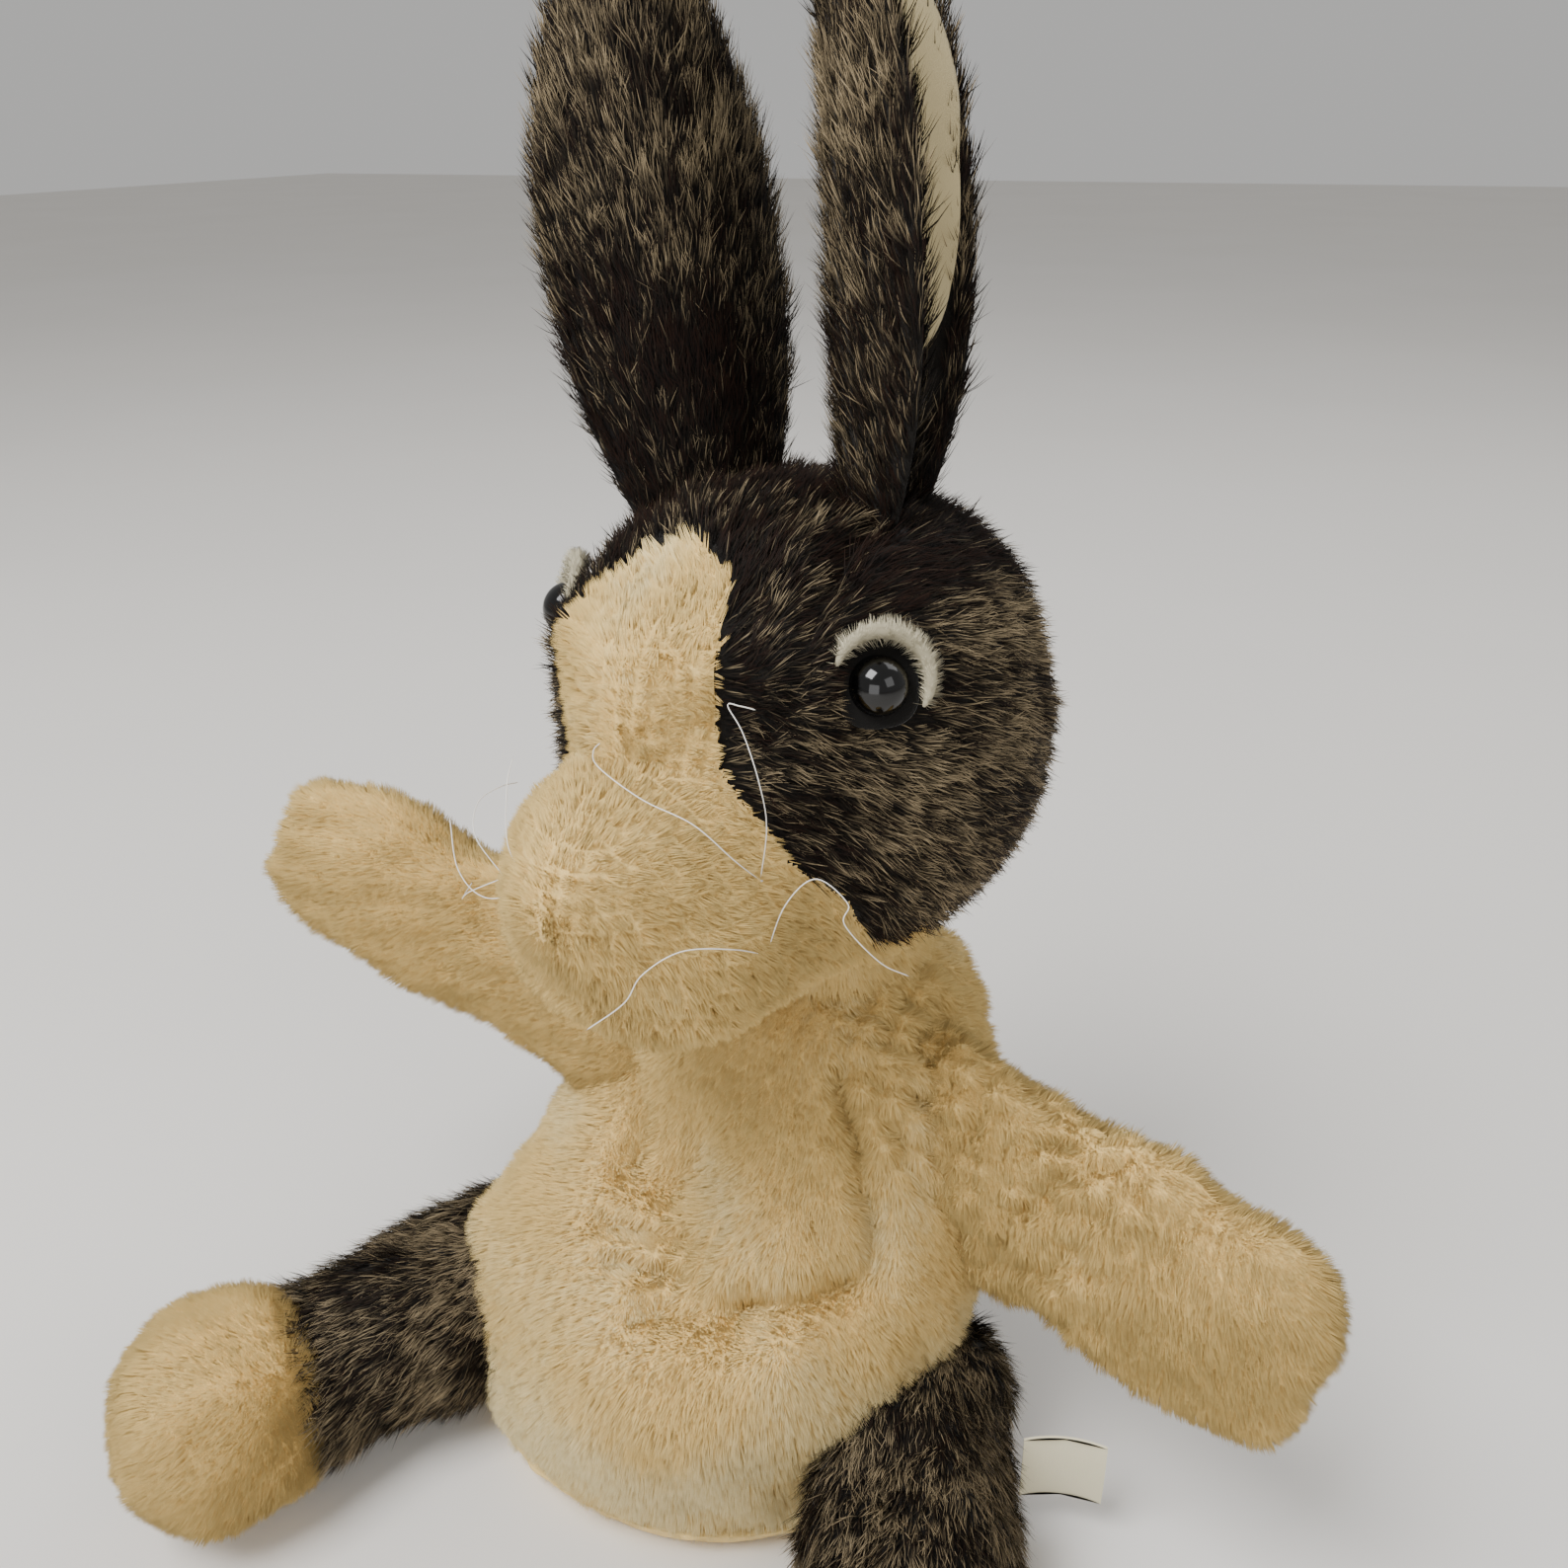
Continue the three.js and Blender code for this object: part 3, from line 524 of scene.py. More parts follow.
class Shader:
    """A material with one Principled BSDF, whose constants are set as it is made."""

    def __init__(self, name, **constants):
        self.material = bpy.data.materials.new(name)
        self.material.use_nodes = True
        self.tree = self.material.node_tree
        self.surface = self.tree.nodes["Principled BSDF"]
        for socket, value in constants.items():
            self.surface.inputs[socket.replace("_", " ")].default_value = value

    def node(self, kind, settings=None, inputs=None, output=0):
        """A node with its settings, then its sockets' values or links. Returns one output."""
        made = self.tree.nodes.new(kind)
        for setting, value in (settings or {}).items():
            setattr(made, setting, value)
        for socket, value in (inputs or {}).items():
            if isinstance(value, Value):
                self.tree.links.new(value.socket, made.inputs[socket])
            else:
                made.inputs[socket].default_value = value
        return Value(self, made.outputs[output])

    def ramp(self, value, stops):
        """A colour ramp through (place, colour) stops."""
        made = self.tree.nodes.new("ShaderNodeValToRGB")
        elements = made.color_ramp.elements
        while len(elements) < len(stops):
            elements.new(0.5)
        for element, (place, colour) in zip(elements, stops, strict=True):
            element.position = place
            element.color = (*colour[:3], 1)
        self.tree.links.new(value.socket, made.inputs[0])
        return Value(self, made.outputs[0])

    def mix(self, share, first, second):
        """Two colours mixed by a share."""
        return self.node("ShaderNodeMix", {"data_type": "RGBA"}, {0: share, 6: first, 7: second}, 2)

    def place(self):
        """Object coordinates."""
        return self.node("ShaderNodeTexCoord", output="Object")

    def noise(self, scale, detail=3.0, roughness=0.55):
        """Noise with features of about 1 / scale metres."""
        inputs = {"Vector": self.place(), "Scale": scale, "Detail": detail, "Roughness": roughness}
        return self.node("ShaderNodeTexNoise", inputs=inputs)

    def bump(self, height, distance, strength=0.6):
        """Small relief on the surface's normal, as deep as the distance in metres."""
        inputs = {"Height": height, "Distance": distance, "Strength": strength}
        self.feed("Normal", self.node("ShaderNodeBump", inputs=inputs))

    def one_sided_normal(self):
        """The shading normal as it is on the front, on the back too: a thin blade has no dark side."""
        normal = self.node("ShaderNodeNewGeometry", output="Normal")
        behind = self.node("ShaderNodeNewGeometry", output="Backfacing")
        inputs = {0: normal, "Scale": 1 - 2 * behind}
        return self.node("ShaderNodeVectorMath", {"operation": "SCALE"}, inputs)

    def feed(self, socket, value):
        self.tree.links.new(value.socket, self.surface.inputs[socket])


def colour(code):
    """A web colour code as linear red, green, blue and alpha."""
    parts = [int(code[i : i + 2], 16) / 255 for i in (1, 3, 5)]
    return (*[c / 12.92 if c <= 0.04045 else ((c + 0.055) / 1.055) ** 2.4 for c in parts], 1.0)


def scaled(shade, share):
    """A colour made darker or lighter."""
    return (*[min(1.0, part * share) for part in shade[:3]], 1.0)


def strand_material(name, root, stops, tipping):
    """Fur strands: the ramp's colour by the strand's own tone, darker down towards its root."""
    shader = Shader(name, Roughness=0.7, Specular_IOR_Level=0.12)
    uv = shader.node("ShaderNodeUVMap", {"uv_map": STRAND_UV})
    tone = shader.node("ShaderNodeSeparateXYZ", inputs={0: uv})
    along = tone.beside(1)
    shader.feed("Base Color", shader.mix(along**tipping, root, shader.ramp(tone, stops)))
    shader.feed("Normal", shader.one_sided_normal())
    return shader.material


def cloth_material(name, cloth):
    """Two shades mixed in soft patches, with a fine raised weave."""
    shader = Shader(name, Roughness=cloth.roughness, Sheen_Weight=0.15, Specular_IOR_Level=0.15)
    first = getattr(colours(), cloth.first)
    second = scaled(getattr(colours(), cloth.second), cloth.share)
    shader.feed("Base Color", shader.mix(shader.noise(cloth.patch), first, second))
    shader.bump(shader.noise(cloth.weave, 2.0, 0.7), cloth.relief * MM)
    return shader.material


def hard_material(name, hard):
    """A smooth hard finish with faint patches and a little unevenness in its gloss."""
    shader = Shader(name, Specular_IOR_Level=0.5)
    shade = getattr(colours(), hard.shade)
    spread = shader.noise(hard.patch)
    shader.feed("Base Color", shader.mix(spread, shade, scaled(shade, hard.share)))
    shader.feed("Roughness", hard.roughness + 0.08 * spread)
    return shader.material


def colours():
    return bpy.context.scene.puppet_colours


def fur():
    return bpy.context.scene.puppet_fur


def dark_fur():
    """Dark fur by tone: reddish, nearly black, brown, then tan tips."""
    c = colours()
    stops = [(0.0, c.russet), (0.2, c.dark), (0.5, c.brown), (0.9, c.tan)]
    return strand_material("dark_fur", c.dark_root, stops, 1.9)


def cream_fur():
    c = colours()
    stops = [(0.0, scaled(c.cream, 0.7)), (0.5, c.cream), (1.0, c.cream_tip)]
    return strand_material("cream_fur", c.cream_root, stops, 0.7)


def lid_fur():
    lid = colours().lid
    return strand_material("lid_fur", scaled(lid, 0.6), [(0.0, scaled(lid, 0.85)), (1.0, lid)], 0.6)


@dataclass
class Cloth:
    """Two of the puppet's colours mixed in soft patches, and a raised weave."""

    first: str
    second: str
    share: float  # how light the second colour is, as a share of its own
    patch: float  # patches in a metre
    weave: float  # threads in a metre
    relief: float  # mm
    roughness: float = 0.9


@dataclass
class Hard:
    """One of the puppet's colours with faint patches, smooth and hard."""

    shade: str
    share: float
    patch: float
    roughness: float


STRANDS = {"dark_fur": dark_fur, "cream_fur": cream_fur, "lid_fur": lid_fur}
PLAIN = {
    "dark_backing": Cloth("dark_root", "dark", 1.0, 60, 1800, 0.4),
    "cream_backing": Cloth("cream", "cream", 0.9, 60, 1800, 0.4),
    "velour": Cloth("velour", "velour", 0.86, 45, 3200, 0.15, 0.8),
    "lining": Cloth("lining", "lining", 0.88, 40, 1500, 0.25),
    "mouth_cloth": Cloth("mouth", "mouth", 0.8, 60, 2200, 0.2),
    "felt": Cloth("eye", "dark", 0.6, 200, 2600, 0.3),
    "label": Cloth("label", "label", 0.93, 90, 3600, 0.1, 0.7),
    "thread": Cloth("thread", "thread", 0.7, 300, 3000, 0.1, 0.6),
    "board": Hard("board", 1.5, 120, 0.6),
    "washer": Hard("washer", 0.9, 120, 0.3),
    "eye_gloss": Hard("eye", 1.6, 90, 0.06),
    "nylon": Hard("nylon", 0.9, 300, 0.25),
}
MADE = {}


def finish(name):
    """The named finish, made the first time it is asked for."""
    if name not in MADE:
        if name in STRANDS:
            MADE[name] = STRANDS[name]()
        elif isinstance(PLAIN[name], Cloth):
            MADE[name] = cloth_material(name, PLAIN[name])
        else:
            MADE[name] = hard_material(name, PLAIN[name])
    return MADE[name]


def dress(piece, finish_name):
    """Gives the piece its finish and says which slot of the frame it wears."""
    piece.data.materials.clear()
    piece.data.materials.append(finish(finish_name))
    return piece


# --- Piles --------------------------------------------------------------------------


def dark_pile():
    f = fur()
    return Pile(
        length=f.dark_length / MM,
        width=f.dark_width / MM,
        density=f.dark_density,
        lift=0.36,
        tuft=2.4,
        gather=0.3,
        stray=0.3,
        twist=0.5,
        mottle=0.66,
        bends=True,
    )


def cream_pile():
    f = fur()
    return Pile(
        length=f.cream_length / MM,
        width=f.cream_width / MM,
        density=f.cream_density,
        lift=0.86,
        tuft=2.6,
        gather=0.22,
        stray=0.09,
        twist=1.0,
        mottle=0.16,
        bends=False,
    )


def face_pile(kind):
    """Fur is shorter on the head, and curls into bigger tufts on the muzzle."""
    if kind == "dark":
        return replace(dark_pile(), length=fur().head_length / MM)
    return replace(cream_pile(), length=fur().muzzle_length / MM, tuft=3.2, lift=0.8, gather=0.5)


FLOOR_PRESS = 0.3  # mm that strands stay above the floor


def press(piece):
    """Strands that would reach below the floor lie along it."""
    points = np.empty(len(piece.data.vertices) * 3, np.float32)
    piece.data.vertices.foreach_get("co", points)
    points = points.reshape(-1, 3)
    points[:, 2] = np.maximum(points[:, 2], FLOOR_PRESS * MM)
    piece.data.vertices.foreach_set("co", points.ravel())
    piece.data.update()
    return piece


# --- Body ---------------------------------------------------------------------------

BODY_HEIGHT = 141
BELLY_RADIUS = 69
LINING_DEPTH = 2.2  # mm between a fur panel's backing and the cotton inside it
SKIN_DEPTH = 2.2  # mm that a fur panel's backing lies below the tips of its pile
SLOUCH = np.array([-26, -30])  # of the belly from the neck axis, in front of it and to its right
BELL_KNOTS = [
    (0.84 * BELLY_RADIUS, 0),
    (0.96 * BELLY_RADIUS, 16),
    (BELLY_RADIUS, 42),
    (0.9 * BELLY_RADIUS, 78),
    (0.7 * BELLY_RADIUS, 108),
    (0.52 * BELLY_RADIUS, 130),
    (27, BODY_HEIGHT),
]
BELL_CURVE = curve_through(BELL_KNOTS, np.linspace(0, 1, 120))
BELLY_DEPTH = 0.8  # of the bell's radius
BACK_DEPTH = 0.72
SIDE_SEAM = 4
CHEST_LEVEL = 120
YOKE_LEVEL = 96
HEM = 7  # the height of the hem's binding
COLLAR = 5  # mm of the neck opening above the lining


def bell(inset, low, high, grid):
    """The body's bell: circles of the bell curve's radius, less inset, flattened front and back
    below the chest, and slid by the slouch below the collar."""
    rows, columns = grid
    z = np.linspace(low, high, rows)[:, None]
    angle = circle(columns)
    radius = np.interp(z, BELL_CURVE[:, 1], BELL_CURVE[:, 0]) - inset
    front = np.where(np.sin(angle) < 0, BELLY_DEPTH, BACK_DEPTH)
    depth = blend_between(front, 1, smooth(z, 90, BODY_HEIGHT - 6))
    slid = 1 - smooth(z, 10, BODY_HEIGHT - 12)
    x = radius * np.cos(angle) + SLOUCH[0] * slid
    y = radius * np.sin(angle) * depth + SLOUCH[1] * slid
    return Skin(BODY.out(stacked(x, y, z)))


def side_seam(z):
    """Where the seam between belly and back runs, as Y behind the neck axis at each height."""
    return SIDE_SEAM + SLOUCH[1] * (1 - np.clip(z / CHEST_LEVEL, 0, 1))


def fold(x, z, start, end, width, depth):
    """A groove in the front view along the line from start to end: depth at the line, fading
    over width to each side and towards both ends."""
    start, end = np.asarray(start, float), np.asarray(end, float)
    along = end - start
    length = np.linalg.norm(along)
    along = along / length
    t = ((x - start[0]) * along[0] + (z - start[1]) * along[1]) / length
    off = (x - start[0]) * along[1] - (z - start[1]) * along[0]
    return -depth * hill(off, 0, width) * smooth(t, -0.25, 0.2) * (1 - smooth(t, 0.8, 1.25))


# Each fold's two ends as X and Z, its width and its depth.
FOLDS = [
    ((-38, 79), (-8, 83), 2.4, 4.5),
    ((-30, 74), (-8, 77), 2.4, 5.0),
    ((-14, 86), (-16, 74), 1.8, 2.6),
    ((-8, 88), (-10, 75), 1.8, 2.8),
    ((-2, 90), (-4, 76), 1.8, 3.2),
    ((-16, 70), (12, 74), 6.0, 7.0),
    ((8, 73), (34, 80), 5.0, 7.0),
    ((20, 126), (36, 84), 3.0, 5.0),
    ((-46, 112), (-40, 88), 3.5, 4.0),
]
HOLLOW = {"x": -24, "z": 94, "wide": 19, "tall": 15, "deep": 17}
BELLY_ROLL = {"x": -12, "z": 52, "wide": 44, "tall": 20, "out": 9}
CRIMP = 0.9  # mm, of the crinkled pile over the left shoulder


def belly_relief(points):
    """How far slack fur cloth stands out of the bell: soft waves all over, and folds on the belly."""
    own = BODY.inside(points)
    x, y, z = np.moveaxis(own, -1, 0)
    slack = 1.3 * ripple(own, 60, 3) + 0.5 * ripple(own, 22, 4)
    relief = slack * smooth(z, 0, 14) * (1 - smooth(z, 120, 138))
    relief = relief + CRIMP * ripple(own, 7, 5) * smooth(x, 8, 28) * smooth(z, 88, 104)
    in_front = smooth(-y, -4, 14)
    hollow = hill(x, HOLLOW["x"], HOLLOW["wide"]) * hill(z, HOLLOW["z"], HOLLOW["tall"])
    roll = hill(x, BELLY_ROLL["x"], BELLY_ROLL["wide"]) * hill(z, BELLY_ROLL["z"], BELLY_ROLL["tall"])
    relief = relief + in_front * (BELLY_ROLL["out"] * roll - HOLLOW["deep"] * hollow)
    for start, end, width, depth in FOLDS:
        relief = relief + in_front * fold(x, z, start, end, width, depth)
    return relief


def body_skin():
    surface = bell(0, HEM - 1, BODY_HEIGHT, (110, 240))
    return surface.moved(belly_relief(surface.points) - SKIN_DEPTH)


def only(part_at, name):
    """Accepts the points that part_at() gives that name."""
    return lambda points: part_at(points) == name


def body_part(points):
    """Which panel of the body each point belongs to."""
    own = BODY.inside(points)
    behind = np.where(own[..., 2] > YOKE_LEVEL, "shoulder_yoke", "back_panel")
    return np.where(own[..., 1] < side_seam(own[..., 2]), "belly_panel", behind)


DOWN = np.array([0, 0, -1.0])


def body_flow(points):
    """Fur lies down the body and a little away from its middle."""
    own = BODY.inside(points)
    outwards = unit(own * [1, 1, 0] - [SLOUCH[0], SLOUCH[1], 0])
    return DOWN + 0.25 * outwards


def body_tone(kind):
    """Cream is palest low on the belly; dark fur only varies in soft patches."""
    # painted light: cream fur is lifted low on the belly, so the chest above reads as painted shade
    painted_light = 0.35 if kind == "cream" else 0

    def tone(points):
        low = 1 - smooth(BODY.inside(points)[..., 2], 25, 90)
        return 0.5 + painted_light * low + 0.12 * ripple(points / MM, 38, 8)

    return tone


BODY_PANELS = {"belly_panel": "cream", "shoulder_yoke": "cream", "back_panel": "dark"}


def build_body():
    surface = body_skin()
    for seed, (name, kind) in enumerate(BODY_PANELS.items()):
        keep, look = only(body_part, name), kind + "_fur"
        backing = dress(surface.piece(name + "_skin", keep), kind + "_backing")
        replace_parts(backing, name)
        pile = cream_pile() if kind == "cream" else dark_pile()
        seeds = (20 + seed, 30 + seed)
        coat = fur_coat(name + "_fur", look, surface, pile, seeds, body_flow, body_tone(kind), keep)
        for piece in (backing, press(coat)):
            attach(piece, "torso")


# --- Head ---------------------------------------------------------------------------

SKULL = {"centre": (0, -8, 0), "radii": (54, 50, 53), "power": 2.3}
MUZZLE = {"centre": (0, -54, -25), "radii": (33, 34, 27), "power": 2.25}
HEAD_JOIN = 9  # the reach of the fillet between them
HEAD_GRID = (190, 280)
HEAD_BOUND = 130.0  # mm from the head's middle, outside it in every direction
HALVINGS = 26
MOUTH_LEVEL = -34
JAW_HINGE = -34
THROAT = -20  # the jaw's skin starts this far from the middle
NECK_ROOM = 27  # the radius of the opening for the neck
HEAD_MIDDLE = np.array([0, -22, -8])
NOSE = HEAD.out([0, -90, -16])
EYE_WAY = np.array([38, -30, 25])
EYE_RADIUS = 5.7
BROW = {"x": 28, "z": 29, "wide": 9, "tall": 14, "out": 6}  # the swellings above the eyes
BRIDGE = {"wide": 18, "out": 11}  # the ridge of the nose, up the blaze
EAR_SEAM = 4


def on_skull(direction):
    """Where a direction from the skull's middle meets its outer face, and the way that face looks."""
    radii, power = np.array(SKULL["radii"], float), SKULL["power"]
    direction = np.asarray(direction, float)
    point = direction * (np.abs(direction / radii) ** power).sum() ** (-1 / power)
    slope = np.sign(point) * np.abs(point / radii) ** (power - 1) / radii
    return point + SKULL["centre"], unit(slope)


def eye_place(side):
    """Z looks out of the head, and Y is up."""
    point, way = on_skull(EYE_WAY * [SIDES[side], 1, 1])
    across = unit(np.cross([0, 0, 1], way))
    columns = [HEAD.way(across), HEAD.way(np.cross(way, across)), HEAD.way(way)]
    return Place(HEAD.out(point), np.stack(columns, -1))


EYES = {side: eye_place(side) for side in SIDES}


def head_distance(points):
    """How far points are outside the head: the skull and the muzzle, joined by a fillet."""
    skull = outside(points, SKULL["centre"], SKULL["radii"], SKULL["power"])
    muzzle = outside(points, MUZZLE["centre"], MUZZLE["radii"], MUZZLE["power"])
    return joined(skull, muzzle, HEAD_JOIN)


def blaze_half(z):
    """Half the width of the cream blaze at each height of the face."""
    return np.interp(z, [-20, -4, 10, 32, 41, 45], [36, 26, 20, 18, 12, 0])


def blaze_middle(z):
    """The blaze is sewn a little to the right of the middle above the muzzle."""
    return -6 * smooth(z, -4, 20)


def brow_half(z):
    """Half the width of the dark panel between the cheeks, behind the blaze."""
    return np.interp(z, [0, 26, 50], [17, 27, 24])


def face_swellings(x, y, z):
    """The ridge of the nose under the blaze, and the brows."""
    in_front = 1 - smooth(y, -50, -30)
    bridge = hill(x, blaze_middle(z), BRIDGE["wide"]) * smooth(z, -30, -6) * (1 - smooth(z, 24, 44))
    brow = hill(np.abs(x), BROW["x"], BROW["wide"]) * hill(z, BROW["z"], BROW["tall"])
    return in_front * (BRIDGE["out"] * bridge + BROW["out"] * brow)


def head_relief(points):
    """Seams sunk between panels, dimples round the eyes, the crease of the mouth and soft waves."""
    own = HEAD.inside(points)
    x, y, z = np.moveaxis(own, -1, 0)
    relief = 0.6 * ripple(own, 40, 11) + 0.25 * ripple(own, 16, 12) + face_swellings(x, y, z)
    for place in EYES.values():
        distance = np.linalg.norm(place.inside(points), axis=-1)
        relief = relief - 2.6 * hill(distance, 0, 12)
    brow_seam = hill(np.abs(x), brow_half(z), 3) * smooth(z, 12, 26) * (1 - smooth(y, -2, 4))
    ear_seam = hill(y, EAR_SEAM, 3) * smooth(z, -30, 10)
    mouth = hill(z, MOUTH_LEVEL, 2.0) * (1 - smooth(y, -60, -44))
    return relief - 2.2 * brow_seam - 1.6 * ear_seam - 2.4 * mouth


def head_skin():
    """Each direction from the middle of the head, at the distance where it leaves the head, found
    by halving the range that holds it."""
    way = directions(*HEAD_GRID)
    near, far = np.zeros((*HEAD_GRID, 1)), np.full((*HEAD_GRID, 1), HEAD_BOUND)
    for _ in range(HALVINGS):
        half = (near + far) / 2
        within = (head_distance(HEAD_MIDDLE + way * half) < 0)[..., None]
        near, far = np.where(within, half, near), np.where(within, far, half)
    surface = Skin(HEAD.out(HEAD_MIDDLE + way * near))
    return surface.moved(head_relief(surface.points) - SKIN_DEPTH)


def head_part(points):
    """Which panel of the head each point belongs to: the jaw's skin reaches back over the throat."""
    x, y, z = np.moveaxis(HEAD.inside(points), -1, 0)
    part = np.where(x > 0, "cheek_left", "cheek_right").astype("<U20")
    part[(z >= 0) & (np.abs(x) < brow_half(z))] = "brow_panel"
    part[(np.abs(x - blaze_middle(z)) < blaze_half(z)) & (y < -30)] = "blaze_and_muzzle"
    part[y > EAR_SEAM] = "head_back"
    part[(z < MOUTH_LEVEL) & (y < THROAT)] = "jaw_panel"
    part[(np.hypot(x, y) < NECK_ROOM) & (z < 0)] = "neck_hole"
    return part


def head_flow(points):
    """Fur lies away from the nose, over the head and down its back."""
    return unit(points - NOSE) + 0.7 * DOWN


def eye_room(points):
    """0 where an eye is, growing to 1 away from it."""
    share = 1.0
    for place in EYES.values():
        own = place.inside(points)
        share = share * smooth(np.hypot(own[:, 0], own[:, 1]), EYE_RADIUS - 1, EYE_RADIUS + 9)
    return share


def cream_head_tone(points):
    """Palest up the blaze."""
    z = HEAD.inside(points)[:, 2]
    return 0.26 + 0.24 * smooth(z, -10, 20) + 0.14 * ripple(points / MM, 30, 14)


def dark_head_tone(points):
    """Darkest over the brow, crown and throat, and palest out on the cheeks."""
    x, y, z = np.moveaxis(HEAD.inside(points), -1, 0)
    # the crown is darker partly by its own colour and partly by painted shade
    crown = smooth(z, 18, 44) * (1 - smooth(y, 0, 30))
    brow = 1 - smooth(np.abs(x), 20, 42)
    throat = 1 - smooth(z, -30, -12)
    return 0.58 - 0.32 * crown - 0.18 * brow - 0.3 * throat + 0.14 * ripple(points / MM, 30, 14)


HEAD_PANELS = {
    "blaze_and_muzzle": "cream",
    "brow_panel": "dark",
    "cheek_left": "dark",
    "cheek_right": "dark",
    "head_back": "dark",
    "jaw_panel": "cream",
}


def join_head(name, backing, coat):
    """The head carries its panels, and the jaw's panel bends over the throat."""
    if name == "jaw_panel":
        start, end = HEAD.out([0, THROAT, -45]), HEAD.out([0, JAW_HINGE - 3, -45])
        for piece in (backing, coat):
            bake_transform(piece)
    else:
        for piece in (backing, coat):
            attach(piece, "head")


def build_head():
    surface = head_skin()
    for seed, (name, kind) in enumerate(HEAD_PANELS.items()):
        keep, look = only(head_part, name), kind + "_fur"
        tone = cream_head_tone if kind == "cream" else dark_head_tone
        backing = dress(surface.piece(name + "_skin", keep), kind + "_backing")
        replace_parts(backing, *([name, "head_stuffing"] if name == "head_back" else [name]))
        seeds = (50 + seed, 60 + seed)
        coat = fur_coat(
            name + "_fur", look, surface, face_pile(kind), seeds, head_flow, tone, keep, eye_room
        )
        join_head(name, backing, coat)


# --- Mouth --------------------------------------------------------------------------

MOUTH_PAD = {"ahead": -57.5, "radii": (26.4, 23.6, 0.42)}
PAD_LEVELS = {"upper": -33.5, "lower": -34.95}
STITCHES = {"middle": (0, -88.6, -19), "radii": (3.2, 1.0, 1.9)}


def build_mouth():
    """Cloth over the two mouth boards, each a flat pad inside the muzzle."""
    for name, level in PAD_LEVELS.items():
        pad = ball_skin(HEAD, (0, MOUTH_PAD["ahead"], level), MOUTH_PAD["radii"], 2.4, (16, 64))
        pad = dress(pad.piece("mouth_pad_" + name), "mouth_cloth")
        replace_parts(pad, "mouth_lining_" + name)
        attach(pad, "head" if name == "upper" else "jaw")
        dress(frame["nodes"]["mouth_board_" + name], "board")
    stitches = ball_skin(HEAD, STITCHES["middle"], STITCHES["radii"], 2.0, (12, 24))
    stitches = dress(stitches.piece("nose_stitches"), "thread")
    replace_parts(stitches, "nose_stitch")
    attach(stitches, "head")


# --- Eyes ---------------------------------------------------------------------------

EYE_DOME = {"base": -0.6, "height": 5.5}
EYE_FELT = {"level": -1.3, "radius": 7.9, "thick": 0.9}
LID = {"radius": 8.9, "arch": 1.2, "level": 0.9, "thick": 1.6}
LID_ANGLES = {"left": (-32, 152), "right": (212, 28)}


def build_dome(place, side):
    """A glossy half-ball on a disc of felt."""
    radii = (EYE_RADIUS, EYE_RADIUS, EYE_DOME["height"])
    dome = ball_skin(place, (0, 0, EYE_DOME["base"]), radii, 2.0, (40, 64)).piece("eye_dome_" + side)
    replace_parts(dress(dome, "eye_gloss"), "eye_" + side)
    radii = (EYE_FELT["radius"], EYE_FELT["radius"], EYE_FELT["thick"])
    disc = ball_skin(place, (0, 0, EYE_FELT["level"]), radii, 2.6, (14, 48)).piece("eye_felt_" + side)
    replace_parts(dress(disc, "felt"), "eye_backing_" + side)
    for piece in (dome, disc):
        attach(piece, "head")
    dress(frame["nodes"]["eye_washer_" + side], "washer")


def build_lid(place, side):
    """A roll of short plush that arches over the eye."""

    def path(t):
        angle = np.radians(blend_between(*LID_ANGLES[side], t))
        reach = LID["radius"] + LID["arch"] * np.sin(np.pi * t)
        return stacked(reach * np.cos(angle), reach * np.sin(angle), LID["level"])

    def size(t):
        return LID["thick"] * (0.75 + 0.25 * np.sin(np.pi * t))

    surface = carried(place, path, (0, 0, 1), size, size, 2.6, (40, 24))
    lid = dress(surface.piece("eyelid_skin_" + side), "lid_fur")
    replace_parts(lid, "eyelid_" + side)
    pile = replace(cream_pile(), length=2.2, density=5.0, width=0.3, tuft=1.4)
    coat = fur_coat("eyelid_fur_" + side, "lid_fur", surface, pile, (80, 81), place.way([0, 1, 0.3]), 0.8)
    for piece in (lid, coat):
        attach(piece, "head")


def build_eyes():
    for side, place in EYES.items():
        build_dome(place, side)
        build_lid(place, side)


# --- Whiskers -----------------------------------------------------------------------

NYLON_RADIUS = 0.11
KNOT_RADIUS = 0.6
OFF_AXIS = [0.31, 0.52, 0.79]  # a direction that no whisker follows
KNOTS = {
    "left_upper": (26, -59, -10),
    "left_lower": (30, -63, -23),
    "right_upper": (-11, -81, -13),
    "right_lower": (-19, -82, -13),
}
WHISKERS = {
    "left_upper": [
        [(27, -68, -1), (22, -73, 7), (12, -75, 10), (1, -74, 13), (-3, -71, 14), (-3, -69, 15)],
        [(30, -62, 4), (30, -64, 14), (26, -63, 22), (22, -62, 26), (24, -61, 26), (26, -59, 25)],
    ],
    "left_lower": [
        [(33, -77, -13), (29, -86, -10), (25, -92, -13), (22, -94, -19), (14, -96, -27)],
        [(36, -65, -9), (40, -61, -4), (45, -58, -9), (45, -59, -13), (49, -53, -23), (51, -45, -30)],
    ],
    "right_upper": [
        [(-7, -87, -7), (-10, -88, 0), (-14, -83, 9), (-17, -78, 12)],
        [(-20, -86, -16), (-30, -84, -14), (-38, -78, -7)],
    ],
    "right_lower": [
        [(-26, -82, -6), (-30, -77, -2), (-30, -71, -1), (-30, -66, -2)],
        [(-30, -82, -20), (-40, -76, -28), (-46, -68, -30)],
    ],
}


def joined_pieces(name, pieces):
    """Several meshes as one object."""
    with bpy.context.temp_override(
        active_object=pieces[0], object=pieces[0], selected_editable_objects=pieces
    ):
        bpy.ops.object.join()
    pieces[0].name = name
    pieces[0].data.name = name
    return pieces[0]


